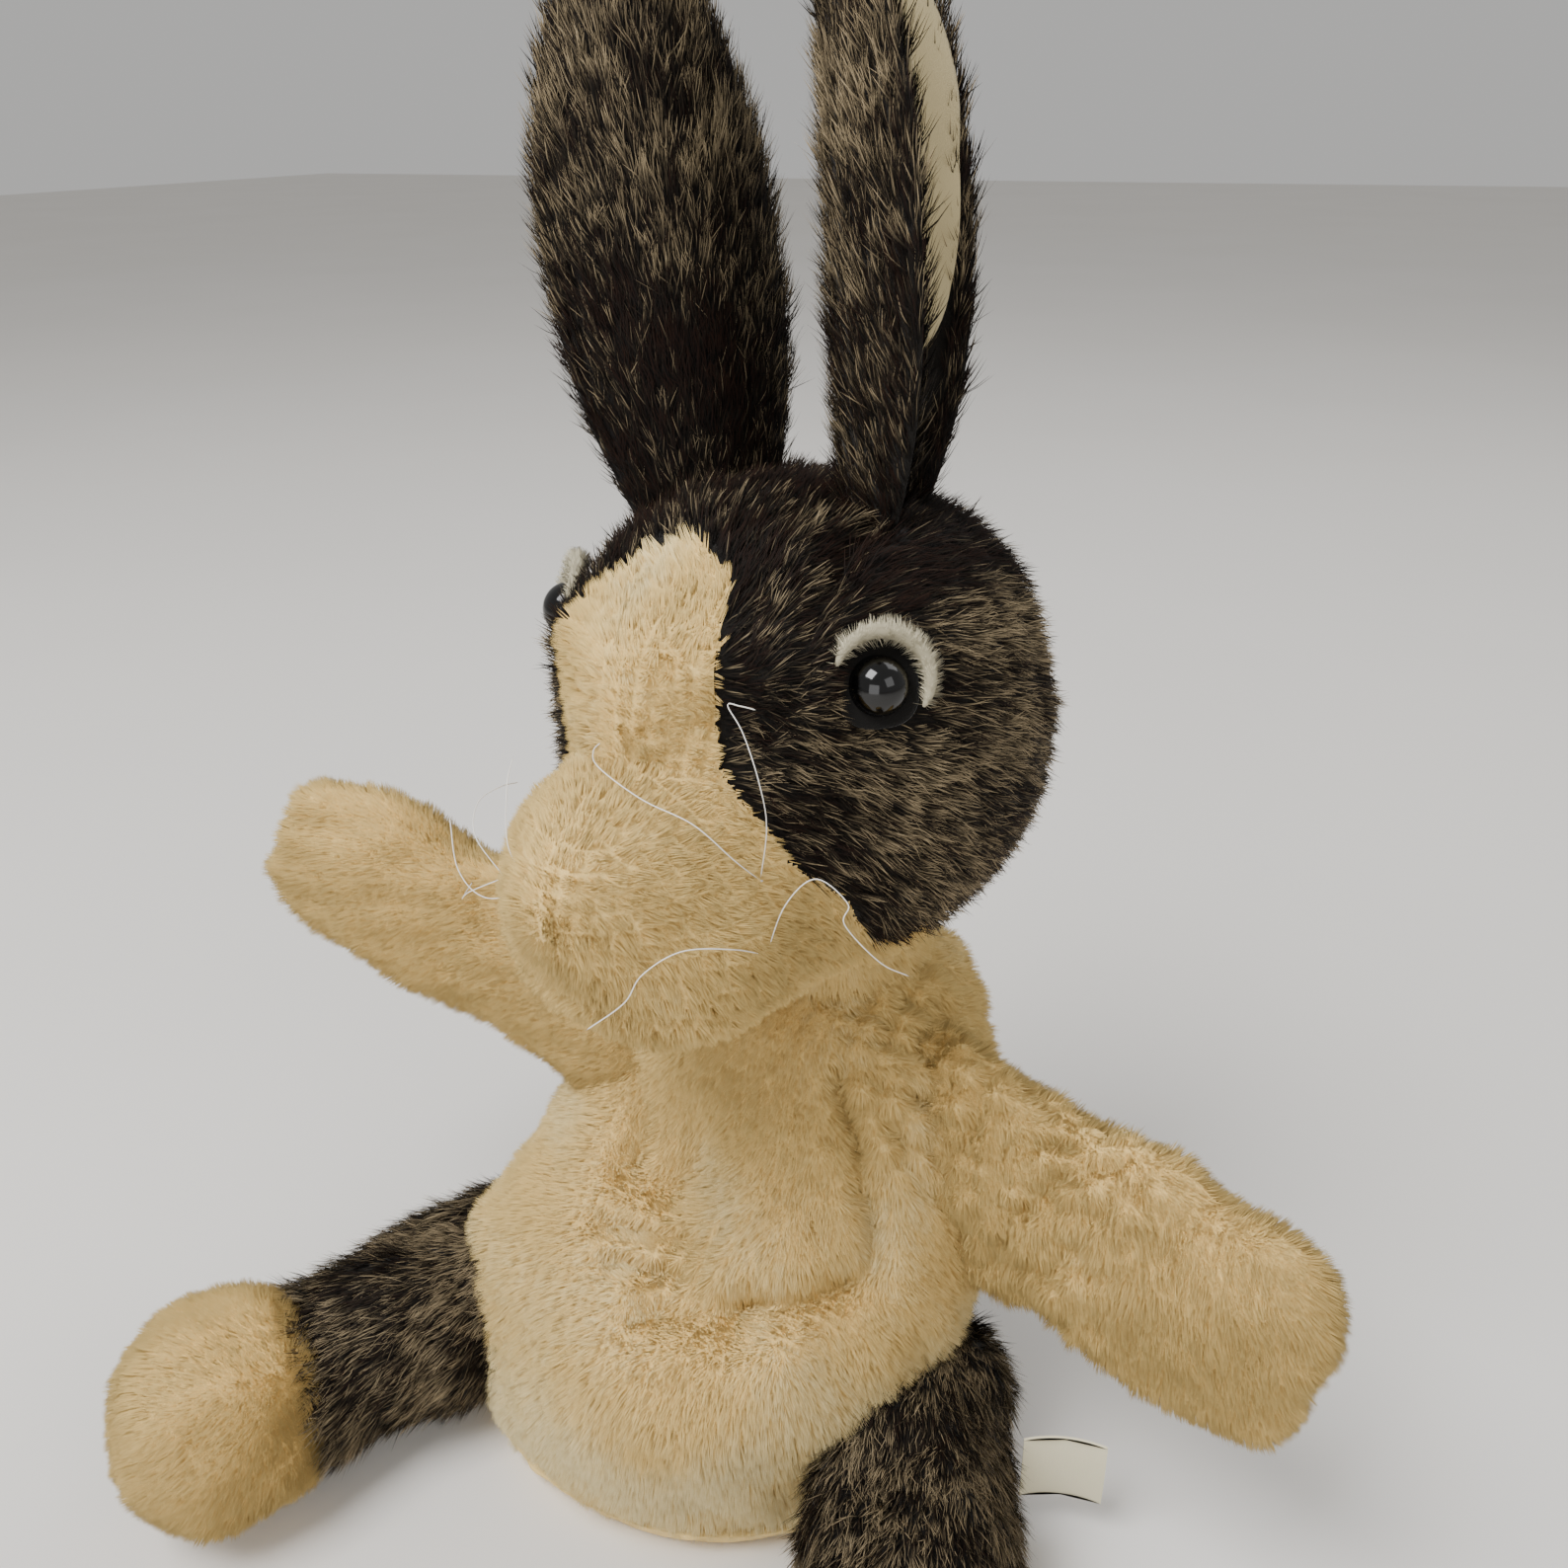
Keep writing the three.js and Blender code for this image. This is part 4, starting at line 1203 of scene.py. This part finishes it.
def build_whiskers():
    """Two nylon threads from each knot."""
    for name, knot in KNOTS.items():
        parts = []
        for end, route in enumerate(WHISKERS[name]):
            parts.append(tube(HEAD, [knot, *route], NYLON_RADIUS, (48, 8)).piece(f"thread_{end}"))
        parts.append(ball_skin(HEAD, knot, (KNOT_RADIUS,) * 3, 2.0, (8, 10)).piece("knot"))
        whiskers = dress(joined_pieces("whiskers_" + name, parts), "nylon")
        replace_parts(whiskers, "whisker_" + name)
        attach(whiskers, "head")


# --- Ears ---------------------------------------------------------------------------

EAR = {"length": 96, "width": 62, "thick": 7, "lining": 1.6}
EARS = {
    "right": {"face": 135, "lean": 3, "tilt": -7, "roll": 30, "bend": 60, "foot": 0.45},
    "left": {"face": 16, "lean": -3, "tilt": 0, "roll": 11, "bend": 55, "foot": 0.8},
}
EAR_FOOT = -24  # the ear's skin reaches this far down, into the head
EAR_ROOT = -3.5  # where its outline starts to widen
VELOUR_SHARE = 0.84  # of the ear's width, bare of fur on its inner face
VELOUR_SPAN = (0.2, 0.97)  # of the ear's length


def ear_place(side):
    ear = EARS[side]
    turn = turned(ear["face"], ear["lean"], ear["tilt"])
    return Place(joint_at(f"ear_{side}_fold"), HEAD.turn @ turn)


def rolled(points, roll, bend):
    """A flat leaf rolled about its length towards +X: round an arc of radius roll until the angle
    bend, then straight on. It is flat below its foot, and fully rolled half-way up the foot."""
    x, y, z = np.moveaxis(points, -1, 0)
    share = smooth(z, 2 * EAR_FOOT, 0.5 * EAR_FOOT)
    radius = roll / np.maximum(share, 0.05)
    angle = np.minimum(np.abs(y) / radius, math.radians(bend) * share)
    rest = np.abs(y) - radius * angle
    inner = radius - x
    away = inner * np.sin(angle) + rest * np.cos(angle)
    forward = radius - inner * np.cos(angle) + rest * np.sin(angle)
    return np.stack([forward, np.sign(y) * away, z], -1)


def ear_leaf(side, low, high, forward, share, thick, grid, bare=None):
    """The ear's outline as a leaf from low to high: a share of its width, and forward of its middle."""
    ear = EARS[side]

    def half_width(t):
        height = (blend_between(low, high, t) - EAR_ROOT) / (EAR["length"] - EAR_ROOT)
        bulge = np.sin(math.pi * (0.24 + 0.66 * np.clip(height, 0, 1)))
        return share * 0.5 * EAR["width"] * blend_between(ear["foot"], 1, bulge)

    def change(points):
        return rolled(points, ear["roll"], ear["bend"])

    path = straight((forward, 0, low), (forward, 0, high))
    place = ear_place(side)
    return carried(place, path, (0, 1, 0), half_width, lambda t: 0.5 * thick, 2.6, grid, change, bare)


def lined(t, angle):
    """1 on the inner face, where the lining is sewn on, and 0 round the rim and behind."""
    inner = (np.sin(angle) < 0) & (np.abs(np.cos(angle)) < VELOUR_SHARE)
    return (inner & (t > VELOUR_SPAN[0]) & (t < VELOUR_SPAN[1])).astype(float)


def ear_tone(place):
    """Dark at the root, and browner from half-way up."""

    def tone(points):
        height = place.inside(points)[:, 2] / EAR["length"]
        return 0.22 + 0.38 * smooth(height, 0.05, 0.55) + 0.14 * ripple(points / MM, 26, 17)

    return tone


def build_ears():
    for seed, side in enumerate(EARS):
        place, node = ear_place(side), "ear_" + side
        leaf = ear_leaf(side, EAR_FOOT, EAR["length"] - 2, 0, 0.95, EAR["thick"] - 3, (70, 110), lined)
        skin = dress(leaf.piece(node + "_skin"), "dark_backing")
        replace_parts(skin, node)
        pile = replace(dark_pile(), length=fur().ear_length / MM)
        seeds, up = (90 + seed, 94 + seed), place.way([0, 0, 1])
        coat = fur_coat(node + "_fur", "dark_fur", leaf, pile, seeds, up, ear_tone(place))
        forward = 0.5 * (EAR["thick"] + EAR["lining"]) - 1.6
        inner = ear_leaf(side, 10, EAR["length"] - 5, forward, 0.84, EAR["lining"], (48, 72))
        inner = inner.moved(0.5 * ripple(place.inside(inner.points), 30, 19))
        velour = dress(inner.piece(node + "_velour"), "velour")
        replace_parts(velour, "ear_lining_" + side)
        root, above = place.out([0, 0, -8]), place.out([0, 0, 12])
        for piece in (skin, coat, velour):
            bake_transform(piece)


# --- Arms ---------------------------------------------------------------------------

ARM = {"root": 24, "thick": 12}
ARMS = {
    "right": {"turn": 198, "lift": 29, "reach": 102, "wide": 1.06, "droop": 0, "flare": 5, "web": 2},
    "left": {"turn": -14, "lift": -4, "reach": 86, "wide": 1.42, "droop": -8, "flare": 14, "web": 9},
}
ARM_END = 8  # how far the fur reaches past the finger's reach
SLEEVE_INSET = 6.4  # from the outer face, clear of the deepest wrinkle
PAW_SHADE = 0.1  # the paws are a little browner than the rest


def arm_place(side):
    arm = ARMS[side]
    return Place(joint_at(f"arm_{side}_lift"), turned(arm["turn"], -arm["lift"]))


def arm_surface(side, inset, grid):
    """A flat mitt: it widens towards the paw, and flares where it is sewn to the shoulder."""
    arm = ARMS[side]
    root = (-ARM["root"], 0, -arm["web"])
    path = bezier(root, (0.45 * arm["reach"], 0, 0), (arm["reach"] + ARM_END - inset, 0, arm["droop"]))

    def across(t):
        flare = arm["flare"] * (1 - smooth(t, 0.12, 0.5))
        return ARM["root"] * blend_between(1, arm["wide"], smooth(t, 0.25, 0.7)) + flare - inset

    def thick(t):
        return ARM["thick"] * blend_between(1, 1.1, t) + 3 * (1 - smooth(t, 0.15, 0.45)) - inset

    return carried(arm_place(side), path, (0, 0, 1), across, thick, 4, grid)


def arm_relief(side, points):
    """Soft waves, and crinkled pile on the left shoulder."""
    own = arm_place(side).inside(points)
    relief = 0.9 * ripple(own, 36, 23) + 0.4 * ripple(own, 15, 24)
    if side == "left":
        relief = relief + CRIMP * ripple(own, 7, 25) * (1 - smooth(own[..., 0], 30, 70))
    return relief


def arm_tone(place):
    def tone(points):
        out = place.inside(points)[:, 0]
        return 0.17 - PAW_SHADE * smooth(out, 40, 85) + 0.12 * ripple(points / MM, 30, 27)

    return tone


def build_arms():
    for seed, side in enumerate(ARMS):
        place, node = arm_place(side), "arm_" + side
        surface = arm_surface(side, 0, (80, 96))
        surface = surface.moved(arm_relief(side, surface.points) - SKIN_DEPTH)
        skin = dress(surface.piece(node + "_skin"), "cream_backing")
        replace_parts(skin, node)
        seeds, lie = (100 + seed, 104 + seed), place.way([1, 0, -0.25])
        coat = fur_coat(node + "_fur", "cream_fur", surface, cream_pile(), seeds, lie, arm_tone(place))
        sleeve = arm_surface(side, SLEEVE_INSET, (48, 56)).piece(node + "_sleeve")
        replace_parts(dress(sleeve, "lining"), "arm_sleeve_" + side)
        start, end = place.out([-12, 0, 0]), place.out([26, 0, 0])
        for piece in (skin, coat, sleeve):
            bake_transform(piece)


# --- Legs ---------------------------------------------------------------------------

LEG = {"root": 26, "reach": 80, "foot": 27, "end": 30}
LEGS = {"right": {"turn": -118, "tone": 0.56}, "left": {"turn": -70, "tone": 0.66}}
FOOT_START = LEG["reach"] - 4
FOOT_TUCK = 3  # mm that the foot's fur reaches back under the leg's
FOOT_AT = (LEG["reach"] + 14, 0, 1.8)


def leg_place(side):
    return Place(joint_at(f"leg_{side}_swing"), turned(LEGS[side]["turn"]))


def leg_surface(place):
    """A round stuffed leg, a little narrower past its middle."""

    def width(t):
        return LEG["root"] * blend_between(1, 0.93, smooth(t, 0.2, 0.7))

    path = straight((-LEG["root"], 0, 0), (LEG["reach"] + LEG["end"], 0, 0))
    surface = carried(place, path, (0, 1, 0), width, width, 3, (80, 84))
    own = place.inside(surface.points)
    return surface.moved(1.0 * ripple(own, 34, 31) + 0.4 * ripple(own, 14, 32) - SKIN_DEPTH)


def foot_surface(place):
    ball = ball_skin(place, FOOT_AT, (LEG["foot"],) * 3, 2.4, (56, 84))
    return ball.moved(0.7 * ripple(place.inside(ball.points), 26, 37) - SKIN_DEPTH)


def build_legs():
    for seed, side in enumerate(LEGS):
        place, node = leg_place(side), "leg_" + side

        def on_leg(points, place=place):
            return place.inside(points)[..., 0] < FOOT_START

        def on_foot(points, place=place):
            return place.inside(points)[..., 0] >= FOOT_START - FOOT_TUCK

        surface = leg_surface(place)
        skin = dress(surface.piece(node + "_skin", on_leg), "dark_backing")
        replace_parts(skin, node, "leg_stuffing_" + side)
        seeds, lie = (110 + seed, 114 + seed), place.way([1, 0, -0.2])
        tone = soft_tone(LEGS[side]["tone"], 0.14, 30, 35)
        coat = press(fur_coat(node + "_fur", "dark_fur", surface, dark_pile(), seeds, lie, tone, on_leg))
        start, end = place.out([-16, 0, 0]), place.out([28, 0, 0])
        for piece in (skin, coat):
            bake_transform(piece)

        surface, foot = foot_surface(place), "foot_" + side
        skin = dress(surface.piece(foot + "_skin", on_foot), "cream_backing")
        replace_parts(skin, foot, "foot_stuffing_" + side)
        seeds, lie = (118 + seed, 122 + seed), place.way([1, 0, 0.1])
        tone = soft_tone(0.06, 0.12, 26, 38)
        coat = press(fur_coat(foot + "_fur", "cream_fur", surface, cream_pile(), seeds, lie, tone, on_foot))
        for piece in (skin, coat):
            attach(piece, node)


# --- Tail and label -----------------------------------------------------------------

TAIL = {"middle": (-22, 39.7, 32), "radii": (17, 15, 15)}
LABEL = {"half": 10, "thick": 0.7, "curl": 1.8, "cup": 0.6}


def build_tail():
    surface = ball_skin(BODY, TAIL["middle"], TAIL["radii"], 2.2, (40, 56))
    skin = dress(surface.piece("tail_skin"), "dark_backing")
    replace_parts(skin, "tail")
    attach(skin, "torso")
    pile = replace(dark_pile(), lift=0.7)
    tone = soft_tone(0.5, 0.2, 20, 39)
    coat = fur_coat("tail_fur", "dark_fur", surface, pile, (130, 131), np.array([0, 0.4, 0.6]), tone)
    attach(press(coat), "torso")


def build_label():
    """A blank folded ribbon on the leg: two faces curl·(y/h)^2 - cup·(z/h)^2 apart by its thickness."""
    low, high = (np.array(corner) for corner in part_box("side_label"))
    place = Place((low + high) / 2, turned(LEGS["left"]["turn"]))
    half = LABEL["half"]
    across = np.linspace(-half, half, 12)[:, None]
    along = np.linspace(-half, half, 20)[None, :]
    curl = LABEL["curl"] * (along / half) ** 2 - LABEL["cup"] * (across / half) ** 2
    front, back = (stacked(curl + side * LABEL["thick"] / 2, along, across) for side in (1, -1))
    ring = np.concatenate([front, back[:, ::-1]], axis=1)
    ends = [np.broadcast_to(ring[end].mean(0), ring[:1].shape) for end in (0, -1)]
    points = np.concatenate([ends[0], ring, ends[1]])
    label = dress(Skin(place.out(points)).piece("blank_label"), "label")
    label.data.shade_flat()
    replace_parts(label, "side_label")
    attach(label, "leg_left")


# --- Neck and linings ---------------------------------------------------------------

NECK_RADIUS = 25
NECK_LINING = {"radius": 20.2, "low": 142, "high": 166}
NECK_SLEEVES = {
    "neck_collar": {"span": (130, 151), "between": ("torso", "neck"), "turns": (140, 147)},
    "neck_gather": {"span": (148, 176), "between": ("neck", "head"), "turns": (154, 170)},
}
HEM_BAND = (0.4, 4.6)  # mm from the body's outer face to the hem's two faces
POCKET = {"half": 17.5, "tip": 7.5, "floor": -32}
THUMB = {"half": 10.6, "thick": 3.5, "level": -41.6}


def build_neck():
    """Two fur sleeves: the lower turns into the neck, and the upper nods into the head."""

    def radius(z, angle):
        return NECK_RADIUS + 0.5 * np.cos(9 * angle) * smooth(z, 140, 150)

    for seed, (name, sleeve) in enumerate(NECK_SLEEVES.items()):
        surface = turned_shape(NECK, radius, *sleeve["span"], (24, 96))
        skin = dress(surface.piece(name + "_skin"), "cream_backing")
        if name == "neck_collar":
            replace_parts(skin, "neck_seam", "neck_sleeve")
        seeds = (140 + seed, 144 + seed)
        coat = fur_coat(name + "_fur", "cream_fur", surface, cream_pile(), seeds, DOWN)
        start, end = (NECK.out([0, 0, height]) for height in sleeve["turns"])
        for piece in (skin, coat):
            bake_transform(piece)


def line_with_cotton(surface, name, node, body, keep=None, inwards=False):
    """A piece of the cotton lining."""
    cloth = dress(surface.piece(name, keep, inwards), "lining")
    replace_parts(cloth, node)
    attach(cloth, body)


def build_body_lining():
    wall = bell(0, HEM, BODY_HEIGHT - COLLAR, (90, 200))
    wall = wall.moved(belly_relief(wall.points) - SKIN_DEPTH - LINING_DEPTH)
    line_with_cotton(wall, "body_lining_cloth", "body_lining", "torso", inwards=True)


def build_hem():
    outer, inner = (bell(inset, 0, HEM + 1, (6, 160)).points for inset in HEM_BAND)
    band = Skin(np.concatenate([inner[::-1], outer, inner[-1:]]))
    band = band.moved(0.3 * ripple(band.points / MM, 9, 43))
    hem = dress(band.piece("hem_binding_cloth"), "cream_backing")
    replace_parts(hem, "hem_binding")
    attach(press(hem), "torso")


def build_neck_lining():
    def radius(z, angle):
        return NECK_LINING["radius"] + 0.4 * np.cos(7 * angle)

    wall = turned_shape(NECK, radius, NECK_LINING["low"], NECK_LINING["high"], (12, 64))
    line_with_cotton(wall, "neck_lining_cloth", "neck_lining", "neck", inwards=True)


def build_pockets():
    """The pocket that rises through the head's throat and turns forward, and the thumb's in the jaw."""

    def across(t):
        return POCKET["half"] + 2 * t

    def thick(t):
        return blend_between(POCKET["half"], POCKET["tip"], smooth(t, 0.3, 0.8))

    def above_neck(points):
        return HEAD.inside(points)[..., 2] > POCKET["floor"]

    def in_jaw(points):
        return HEAD.inside(points)[..., 1] < JAW_HINGE - 1

    rise = bezier((0, -1, -76), (0, 4, 12), (0, -76, -17))
    fingers = carried(HEAD, rise, (1, 0, 0), across, thick, 4, (40, 48))
    line_with_cotton(fingers, "finger_pocket_cloth", "finger_pocket", "head", above_neck)
    level, half, flat = THUMB["level"], THUMB["half"], THUMB["thick"]
    reach = bezier((0, -16, level), (0, -38, level), (0, -60, level))
    thumb = carried(HEAD, reach, (1, 0, 0), lambda t: half, lambda t: flat, 4, (24, 36))
    line_with_cotton(thumb, "thumb_pocket_cloth", "thumb_pocket", "jaw", in_jaw)


def build_linings():
    build_body_lining()
    build_hem()
    build_neck_lining()
    build_pockets()


# --- Stage --------------------------------------------------------------------------

LOOK_AT = np.array([-17, 13, 172])  # from the foot of the neck axis
CAMERA = {"around": 28, "above": 26.6, "roll": -0.9, "distance": 0.34, "lens": 31.3, "near": 0.01}
FLOOR_HALF = 6.0
FLOOR_CORNERS = [(-1, -1), (1, -1), (1, 1), (-1, 1)]
PAPER = ("#e9e6e2", "#e2dfda")
WORLD = {"colour": "#f2f1ef", "strength": 0.55}
LAMPS = {
    "key_lamp": {"around": -24, "above": 58, "distance": 1.6, "size": 0.8, "power": 31},
    "fill_lamp": {"around": 70, "above": 30, "distance": 1.6, "size": 0.8, "power": 4},
    "front_lamp": {"around": 10, "above": 8, "distance": 1.6, "size": 1.0, "power": 8},
    "rim_lamp": {"around": 150, "above": 50, "distance": 1.5, "size": 0.8, "power": 5},
}


def put_object(name, data):
    made = bpy.data.objects.new(name, data)
    bpy.context.scene.collection.objects.link(made)
    return made


def aim(thing, around, above, distance, roll=0):
    """Puts a lamp or the camera round the puppet, above it and at a distance, looking at it."""
    way = turned(around) @ turned(0, 0, -above) @ np.array([0, -1, 0])
    target = BODY.out(LOOK_AT)
    look = Vector(-way).to_track_quat("-Z", "Y").to_matrix()
    thing.location = target + way * distance
    thing.rotation_euler = (look @ Matrix(turned(roll).tolist())).to_euler()


def build_floor():
    mesh = bpy.data.meshes.new("floor")
    corners = [(x * FLOOR_HALF, y * FLOOR_HALF, 0) for x, y in FLOOR_CORNERS]
    mesh.from_pydata(corners, [], [range(len(corners))])
    paper = Shader("pale_floor", Roughness=0.9, Specular_IOR_Level=0.1)
    paper.feed("Base Color", paper.mix(paper.noise(3.0), *(colour(code) for code in PAPER)))
    mesh.materials.append(paper.material)
    put_object("floor", mesh)


def build_stage():
    build_floor()
    scene = bpy.context.scene
    scene.world = bpy.data.worlds.new("soft_room")
    scene.world.use_nodes = True
    background = scene.world.node_tree.nodes["Background"]
    background.inputs["Color"].default_value = colour(WORLD["colour"])
    background.inputs["Strength"].default_value = WORLD["strength"]
    for name, lamp in LAMPS.items():
        light = bpy.data.lights.new(name, "AREA")
        light.energy = lamp["power"]
        light.size = lamp["size"]
        made = put_object(name, light)
        aim(made, lamp["around"], lamp["above"], lamp["distance"])
    lens = bpy.data.cameras.new("camera")
    lens.lens = CAMERA["lens"]
    lens.clip_start = CAMERA["near"]
    scene.camera = put_object("camera", lens)
    aim(scene.camera, CAMERA["around"], CAMERA["above"], CAMERA["distance"], CAMERA["roll"])


# --- Settings, operators and panel --------------------------------------------------


def shade_setting(name, description, code):
    return bpy.props.FloatVectorProperty(
        name=name, description=description, subtype="COLOR", size=4, min=0, max=1, default=colour(code)
    )


def length_setting(name, description, millimetres):
    return bpy.props.FloatProperty(
        name=name, description=description, unit="LENGTH", min=0, default=millimetres * MM
    )


class PuppetColours(bpy.types.PropertyGroup):
    dark_root: shade_setting("Dark root", "Dark fur at its root", "#090706")
    dark: shade_setting("Dark", "The darkest strands", "#16120d")
    brown: shade_setting("Brown", "Most dark strands", "#362d21")
    tan: shade_setting("Tan", "The palest tips among the dark fur", "#b9a582")
    russet: shade_setting("Russet", "Reddish strands among the dark fur", "#2c180e")
    cream_root: shade_setting("Cream root", "Cream fur at its root", "#deb76e")
    cream: shade_setting("Cream", "Most cream strands", "#edcd86")
    cream_tip: shade_setting("Cream tip", "The palest cream strands", "#f9e8b4")
    velour: shade_setting("Velour", "Lining of the ears", "#bcae88")
    lining: shade_setting("Lining", "Cotton inside the puppet", "#d9d2c3")
    mouth: shade_setting("Mouth", "Cloth inside the mouth", "#a8705f")
    board: shade_setting("Board", "Stiff boards of the mouth", "#2c2a28")
    eye: shade_setting("Eye", "Glossy eye domes and felt behind them", "#020202")
    washer: shade_setting("Washer", "Plastic washers behind the eyes", "#e8e8e4")
    lid: shade_setting("Lid", "Short plush of the eyelids", "#cdc4a8")
    nylon: shade_setting("Nylon", "Whiskers", "#f4f1ea")
    label: shade_setting("Label", "Blank sewn label", "#ece4c4")
    thread: shade_setting("Thread", "Nose stitches", "#c4a184")


class PuppetFur(bpy.types.PropertyGroup):
    dark_length: length_setting("Dark pile", "Length of the dark fur", 7.5)
    head_length: length_setting("Head pile", "Length of the dark fur on the head", 6.2)
    ear_length: length_setting("Ear pile", "Length of the fur on the ears", 7.0)
    cream_length: length_setting("Cream pile", "Length of the cream fur", 3.8)
    muzzle_length: length_setting("Muzzle pile", "Length of the cream fur on the face", 3.2)
    dark_width: length_setting("Dark strand", "Width of one dark strand at its root", 0.22)
    cream_width: length_setting("Cream strand", "Width of one cream strand at its root", 0.32)
    dark_density: bpy.props.FloatProperty(
        name="Dark density", description="Dark strands in each square millimetre", min=0, default=2.7
    )
    cream_density: bpy.props.FloatProperty(
        name="Cream density", description="Cream strands in each square millimetre", min=0, default=7.0
    )


STEPS = [
    ("body", "Body", "Belly, shoulder yoke and back", build_body),
    ("head", "Head", "Blaze and muzzle, brow, cheeks, back of the head and jaw", build_head),
    ("mouth", "Mouth", "Cloth over the mouth boards, and the nose stitches", build_mouth),
    ("eyes", "Eyes", "Glossy domes on felt, with plush lids", build_eyes),
    ("whiskers", "Whiskers", "Kinked nylon threads", build_whiskers),
    ("ears", "Ears", "Rolled ears with velour linings", build_ears),
    ("arms", "Arms", "Two flat mitts", build_arms),
    ("legs", "Legs", "Stuffed legs with cream feet", build_legs),
    ("tail", "Tail", "A round fur tail", build_tail),
    ("label", "Label", "A blank folded ribbon", build_label),
    ("neck", "Neck", "Fur sleeves between body and head", build_neck),
    ("linings", "Linings", "Cotton inside the body, neck and pockets, and the hem", build_linings),
    ("stage", "Stage", "Floor, soft lamps and camera", build_stage),
]


def operator_for(key, label, what, build):
    """The operator that builds one group of pieces."""

    def execute(self, context):
        build()
        return {"FINISHED"}

    members = {
        "__doc__": what,
        "bl_idname": "puppet.build_" + key,
        "bl_label": label,
        "bl_options": {"REGISTER", "UNDO"},
        "execute": execute,
    }
    return type("PUPPET_OT_build_" + key, (bpy.types.Operator,), members)


OPERATORS = [operator_for(*step) for step in STEPS]


class PUPPET_PT_panel(bpy.types.Panel):
    """Lists the settings and the steps that build the puppet."""

    bl_idname = "PUPPET_PT_panel"
    bl_label = "Rabbit hand puppet"
    bl_space_type = "VIEW_3D"
    bl_region_type = "UI"
    bl_category = "Puppet"

    def draw(self, context):
        layout = self.layout
        for settings in (context.scene.puppet_fur, context.scene.puppet_colours):
            for name in settings.__annotations__:
                layout.prop(settings, name)
        for operator in OPERATORS:
            layout.operator(operator.bl_idname)


CLASSES = [PuppetColours, PuppetFur, *OPERATORS, PUPPET_PT_panel]


def register():
    for each in CLASSES:
        bpy.utils.register_class(each)
    bpy.types.Scene.puppet_colours = bpy.props.PointerProperty(type=PuppetColours)
    bpy.types.Scene.puppet_fur = bpy.props.PointerProperty(type=PuppetFur)


def unregister():
    del bpy.types.Scene.puppet_colours
    del bpy.types.Scene.puppet_fur
    for each in reversed(CLASSES):
        bpy.utils.unregister_class(each)


def main():
    register()
    for operator in OPERATORS:
        group, name = operator.bl_idname.split(".")
        getattr(getattr(bpy.ops, group), name)()


if __name__ == "__main__":
    main()
